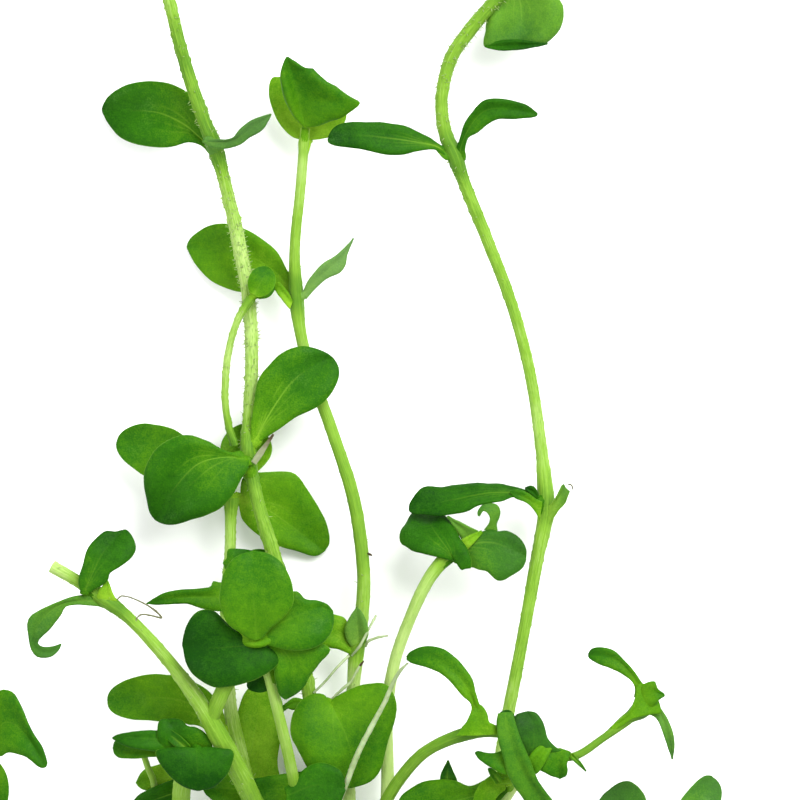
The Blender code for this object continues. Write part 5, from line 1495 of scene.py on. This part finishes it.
def stem_material():
    """Pale yellow-green skin with painted light and shade along it, fine streaks and dashes, greener at the
    nodes, and pale hairs.
    """
    look = bpy.context.scene.bacopa_stems
    material, graph, shader = new_material(
        "bacopa_stem_skin", subsurface_weight=0.12, subsurface_scale=0.9 * MM,
        subsurface_radius=(0.6, 1.0, 0.2), specular_ior_level=0.12)
    tone, node, hair, rough = (graph.attribute(name) for name in ("tone", "node", "hair", "rough"))
    wide, fine = graph.streaks(around=3.0, along=60.0), graph.streaks(around=16.0, along=200.0)
    dashes = graph.streaks(around=9.0, along=800.0, detail=1.0).ease(*DASH_EDGES)
    clouds = graph.noise(graph.place(), scale=220.0)
    streaked = wide.swing(WIDE_STREAKING) + fine.swing(FINE_STREAKING)
    # tone paints light and shade along the stem into its green.
    light = (tone + streaked * (rough * ROUGH_STREAKING + STREAKING) + clouds.swing(STEM_CLOUDING)
             - node * NODE_DARKENING)
    green = graph.ramp(light, STEM_GREEN_STOPS,
                       (look.deep_green, look.node_green, look.mid_green, look.pale_green))
    dashed = graph.mixed(dashes * rough * DASH_DARKENING, green, look.node_green)
    shade(graph, shader, tint=graph.mixed(hair, dashed, look.hair_colour), roughness=0.4 + fine * 0.25,
          height=fine + wide + dashes * 0.4, depth=0.12 * MM, strength=0.8)
    return material


PATCH_EDGES, PATCH_PALENESS, ROOT_STREAKING = (0.35, 0.7), 0.7, 0.4


def root_material():
    """Beige-olive root skin with darker patches and fine lengthwise streaks."""
    look = bpy.context.scene.bacopa_roots
    material, graph, shader = new_material(
        "bacopa_root_skin", subsurface_weight=0.1, subsurface_scale=0.4 * MM, specular_ior_level=0.25)
    patches = graph.noise(graph.place(), scale=420.0, detail=3.0)
    streaks = graph.streaks(around=3.0, along=500.0)
    blend = patches.ease(*PATCH_EDGES) * PATCH_PALENESS + streaks * ROOT_STREAKING
    shade(graph, shader, tint=graph.mixed(blend, look.dark, look.pale), roughness=0.5 + streaks * 0.3,
          height=streaks + patches, depth=0.06 * MM, strength=0.8)
    return material


DRIED_MOTTLING = 0.6


def dried_material():
    """Dried tissue: straw coloured, or dark brown where its tone is high, and wrinkled."""
    look = bpy.context.scene.bacopa_roots
    material, graph, shader = new_material("bacopa_dried_tissue", specular_ior_level=0.2)
    wrinkles = graph.noise(graph.place(), scale=1400.0, detail=3.0)
    dryness = graph.attribute("tone") + wrinkles.swing(DRIED_MOTTLING)
    shade(graph, shader, tint=graph.mixed(dryness, look.straw, look.brown),
          roughness=0.6 + wrinkles * 0.3, height=wrinkles, depth=0.1 * MM)
    return material


CUT_RIM, CUT_BROWNING, CUT_MOTTLING = 0.72, 0.8, 0.7


def cut_material():
    """Cut stem tissue: pale pith, a darker ring of vessels and a browned rim."""
    look = bpy.context.scene.bacopa_roots
    material, graph, shader = new_material("bacopa_cut_tissue", specular_ior_level=0.3)
    ring = graph.attribute("ring")
    pores = graph.noise(graph.place(), scale=3800.0)
    browned = ring.ease(CUT_RIM, 1.0) * CUT_BROWNING + pores.swing(CUT_MOTTLING)
    shade(graph, shader, tint=graph.mixed(browned, look.straw, look.brown),
          roughness=0.45 + pores * 0.3, height=pores, depth=0.08 * MM)
    return material


FLOOR_WEAR, WORN_FLOOR = 0.02, (0.95, 0.95, 0.94)


def floor_material():
    """Plain pale paint with a trace of unevenness."""
    look = bpy.context.scene.bacopa_studio
    material, graph, shader = new_material("studio_floor_paint", roughness=0.9)
    wear = graph.noise(graph.place(), scale=3.0, detail=1.0) * FLOOR_WEAR
    graph.feed(shader.inputs["Base Color"], graph.mixed(wear, look.floor_colour, WORN_FLOOR))
    return material


def colour(name, description, default):
    """Describe a colour setting."""
    return bpy.props.FloatVectorProperty(name=name, description=description, subtype="COLOR", size=3,
                                         min=0.0, max=1.0, default=default)


def length(name, description, default):
    """Describe a setting in metres."""
    return bpy.props.FloatProperty(name=name, description=description, subtype="DISTANCE", unit="LENGTH",
                                   min=0.0, default=default)


class BacopaLeafSettings(bpy.types.PropertyGroup):
    """Colours and sizes of the leaves"""
    deep_green: colour("Deep Green", "Darkest leaf colour", (0.004, 0.038, 0.001))
    dark_green: colour("Dark Green", "Colour of the shaded leaves", (0.0175, 0.093, 0.002))
    mid_green: colour("Mid Green", "Colour of the lit leaves", (0.064, 0.183, 0.003))
    pale_green: colour("Pale Green", "Colour at the foot of a leaf", (0.17, 0.33, 0.016))
    vein_green: colour("Vein Green", "Colour of the veins and the rim", (0.14, 0.28, 0.02))
    # Grey-green of the sheen that is painted on the leaves.
    painted_sheen: colour("Bloom", "Colour of the speckled bloom", (0.19, 0.31, 0.12))
    thickness: length("Thickness", "Thickness of a blade at its midrib", 0.48 * MM)
    vein_depth: length("Vein Depth", "How deep the midrib is pressed in", 0.13 * MM)
    ripple_height: length("Ripple Height", "How far the edges wave up and down", 1.2 * MM)
    puff_height: length("Puff Height", "How far the surface swells between the veins", 0.35 * MM)


class BacopaStemSettings(bpy.types.PropertyGroup):
    """Colours and sizes of the stems"""
    deep_green: colour("Deep Green", "Darkest stem colour", (0.024, 0.1, 0.004))
    node_green: colour("Node Green", "Colour of the nodes and the streaks", (0.07, 0.18, 0.008))
    mid_green: colour("Mid Green", "Colour of the stems' shaded parts", (0.16, 0.31, 0.022))
    pale_green: colour("Pale Green", "Colour of the stems' lit parts", (0.34, 0.48, 0.14))
    hair_colour: colour("Hair Colour", "Colour of the short hairs", (0.24, 0.33, 0.12))
    sides: bpy.props.IntProperty(name="Sides", description="Faces around a stem", min=12, default=42)
    rib_count: bpy.props.IntProperty(name="Rib Count", description="Ribs around a stem", min=0, default=14)
    rib_depth: bpy.props.FloatProperty(
        name="Rib Depth", description="Height of a rib as a share of the radius", min=0.0, max=0.2,
        default=0.025)
    wart_height: length("Wart Height", "Height of the small warts", 0.14 * MM)
    hair_length: length("Hair Length", "Length of the short hairs", 0.75 * MM)


class BacopaRootSettings(bpy.types.PropertyGroup):
    """Colours of the roots and of dried tissue"""
    pale: colour("Pale Root", "Colour of the young roots", (0.34, 0.42, 0.23))
    dark: colour("Dark Root", "Colour of the older root skin", (0.16, 0.23, 0.085))
    straw: colour("Straw", "Colour of dried tissue at its palest", (0.24, 0.27, 0.15))
    brown: colour("Brown", "Colour of dried tissue at its darkest", (0.045, 0.03, 0.012))


class BacopaStudioSettings(bpy.types.PropertyGroup):
    """The floor's colour and the camera's place"""
    floor_colour: colour("Floor Colour", "Colour of the plain floor", (0.97, 0.97, 0.97))
    camera_height: length("Camera Height", "Height of the camera over the floor", 4.0)
    picture_width: length("Picture Width", "Width of the floor that the camera sees", 0.16)


def finish_piece(piece, slot, *nodes):
    """Fix a finished piece to the body and hide the frame's parts that it stands for."""
    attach(piece, BODY)
    if nodes:
        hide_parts(*nodes)


class BACOPA_OT_stems(bpy.types.Operator):
    """Grow the ribbed stems and the rootstock"""
    bl_idname = "bacopa.stems"
    bl_label = "Grow Stems"

    def execute(self, context):
        tree, material = ribbed_stem_tree(), stem_material()
        for seed, stem in enumerate(STEMS):
            finish_piece(build_stem(rooted(stem), tree, material, seed), stem.slot, stem.name)
        for seed, stem in enumerate(SMALL_STEMS):
            finish_piece(build_stem(stem, tree, material, seed), "stem")
        finish_piece(build_cut_end(FRONT_LEFT_STEM, cut_material()), "stem")
        return {"FINISHED"}


class BACOPA_OT_leaves(bpy.types.Operator):
    """Grow the leaf blades with their sheaths"""
    bl_idname = "bacopa.leaves"
    bl_label = "Grow Leaves"

    def execute(self, context):
        tree, material = fleshy_blade_tree(), leaf_material()
        for leaf in LEAVES + OUTLINED_LEAVES:
            finish_piece(build_leaf(leaf, tree, material), "leaf", leaf.name)
        for leaf in SMALL_LEAVES:
            finish_piece(build_leaf(leaf, tree, material), "leaf")
        return {"FINISHED"}


class BACOPA_OT_roots(bpy.types.Operator):
    """Grow the roots"""
    bl_idname = "bacopa.roots"
    bl_label = "Grow Roots"

    def execute(self, context):
        tree, material = ribbed_stem_tree(), root_material()
        for seed, root in enumerate(ROOTS + floor_roots()):
            finish_piece(build_stem(root, tree, material, seed), "rootstock")
        return {"FINISHED"}


class BACOPA_OT_dried_pieces(bpy.types.Operator):
    """Lay the dried bract, the brown filament and the specks"""
    bl_idname = "bacopa.dried_pieces"
    bl_label = "Lay Dried Pieces"

    def execute(self, context):
        material = dried_material()
        finish_piece(build_leaf(DRIED_BRACT, fleshy_blade_tree(), material), "rootstock")
        tree = ribbed_stem_tree()
        for seed, strand in enumerate(DRIED_STRANDS):
            finish_piece(build_stem(strand, tree, material, seed), "rootstock")
        return {"FINISHED"}


class BACOPA_OT_studio(bpy.types.Operator):
    """Set the camera, the floor and the soft light"""
    bl_idname = "bacopa.studio"
    bl_label = "Set Studio"

    def execute(self, context):
        studio = context.scene.bacopa_studio
        middle = layout_point((0, 0, 0))
        add_camera(middle, studio)
        add_floor()
        add_lights(middle)
        return {"FINISHED"}


SENSOR_WIDTH = 36.0
FLOOR_SIZE = 6.0
AIR_BRIGHTNESS = 0.85


def add_camera(middle, studio):
    """Look straight down on the layout's zero point."""
    data = bpy.data.cameras.new("camera")
    data.sensor_width = SENSOR_WIDTH
    data.lens = SENSOR_WIDTH * studio.camera_height / studio.picture_width
    camera = placed("camera", data)
    camera.location = (middle.x, middle.y, studio.camera_height)
    bpy.context.scene.camera = camera


def add_floor():
    """Lay the plain floor under the plant."""
    bm = bmesh.new()
    bmesh.ops.create_grid(bm, x_segments=2, y_segments=2, size=FLOOR_SIZE / 2)
    mesh = bpy.data.meshes.new("studio_floor")
    bm.to_mesh(mesh)
    bm.free()
    mesh.materials.append(floor_material())
    floor = placed("studio_floor", mesh)


def add_soft_light(name, place, target, size, power):
    """Hang a square soft light at a place and aim it at a target."""
    data = bpy.data.lights.new(name, "AREA")
    data.size = size
    data.energy = power
    light = placed(name, data)
    light.location = place
    light.rotation_euler = (Vector(target) - Vector(place)).to_track_quat("-Z", "Y").to_euler()


def add_lights(middle):
    """Light the plant evenly, a little stronger from the side of the shoot tips."""
    add_soft_light("key_light", place=(0.7, 0.9, 1.3), target=middle, size=1.2, power=55.0)
    add_soft_light("fill_light", place=(-0.9, -0.2, 1.4), target=middle, size=1.2, power=15.0)
    world = bpy.data.worlds.new("studio_air")
    world.use_nodes = True
    background = world.node_tree.nodes["Background"]
    background.inputs["Color"].default_value = (1.0, 1.0, 1.0, 1.0)
    background.inputs["Strength"].default_value = AIR_BRIGHTNESS
    bpy.context.scene.world = world
    bpy.context.scene.view_settings.view_transform = "Standard"


class BACOPA_PT_panel(bpy.types.Panel):
    """List the steps that dress the clump"""
    bl_idname = "BACOPA_PT_panel"
    bl_label = "Bacopa"
    bl_space_type = "VIEW_3D"
    bl_region_type = "UI"
    bl_category = "Bacopa"

    def draw(self, context):
        for name, settings in SETTINGS.items():
            box = self.layout.box()
            for key in settings.__annotations__:
                box.prop(getattr(context.scene, name), key)
        for operator in OPERATORS:
            self.layout.operator(operator.bl_idname)


SETTINGS = {"bacopa_studio": BacopaStudioSettings, "bacopa_stems": BacopaStemSettings,
            "bacopa_leaves": BacopaLeafSettings, "bacopa_roots": BacopaRootSettings}
OPERATORS = (BACOPA_OT_studio, BACOPA_OT_stems, BACOPA_OT_leaves, BACOPA_OT_roots, BACOPA_OT_dried_pieces)
CLASSES = (*SETTINGS.values(), *OPERATORS, BACOPA_PT_panel)


def register():
    for part in CLASSES:
        bpy.utils.register_class(part)
    for name, settings in SETTINGS.items():
        setattr(bpy.types.Scene, name, bpy.props.PointerProperty(type=settings))


def unregister():
    for name in SETTINGS:
        delattr(bpy.types.Scene, name)
    for part in reversed(CLASSES):
        bpy.utils.unregister_class(part)


def main():
    register()
    bpy.ops.bacopa.studio()
    bpy.ops.bacopa.stems()
    bpy.ops.bacopa.leaves()
    bpy.ops.bacopa.roots()
    bpy.ops.bacopa.dried_pieces()


STEM_CENTRES = [points if points[0][1] > points[-1][1] else points[::-1]
                for points in map(stem_centre_points, STEMS)]
LEAF_FEET = ([Vector(leaf.midrib[0]) for leaf in LEAVES]
             + [Vector((*leaf.midrib[0], leaf.heights[0])) for leaf in OUTLINED_LEAVES])
FRONT_LEFT_STEM = next(stem for stem in STEMS if stem.name == "front_left_stem")

if __name__ == "__main__":
    main()
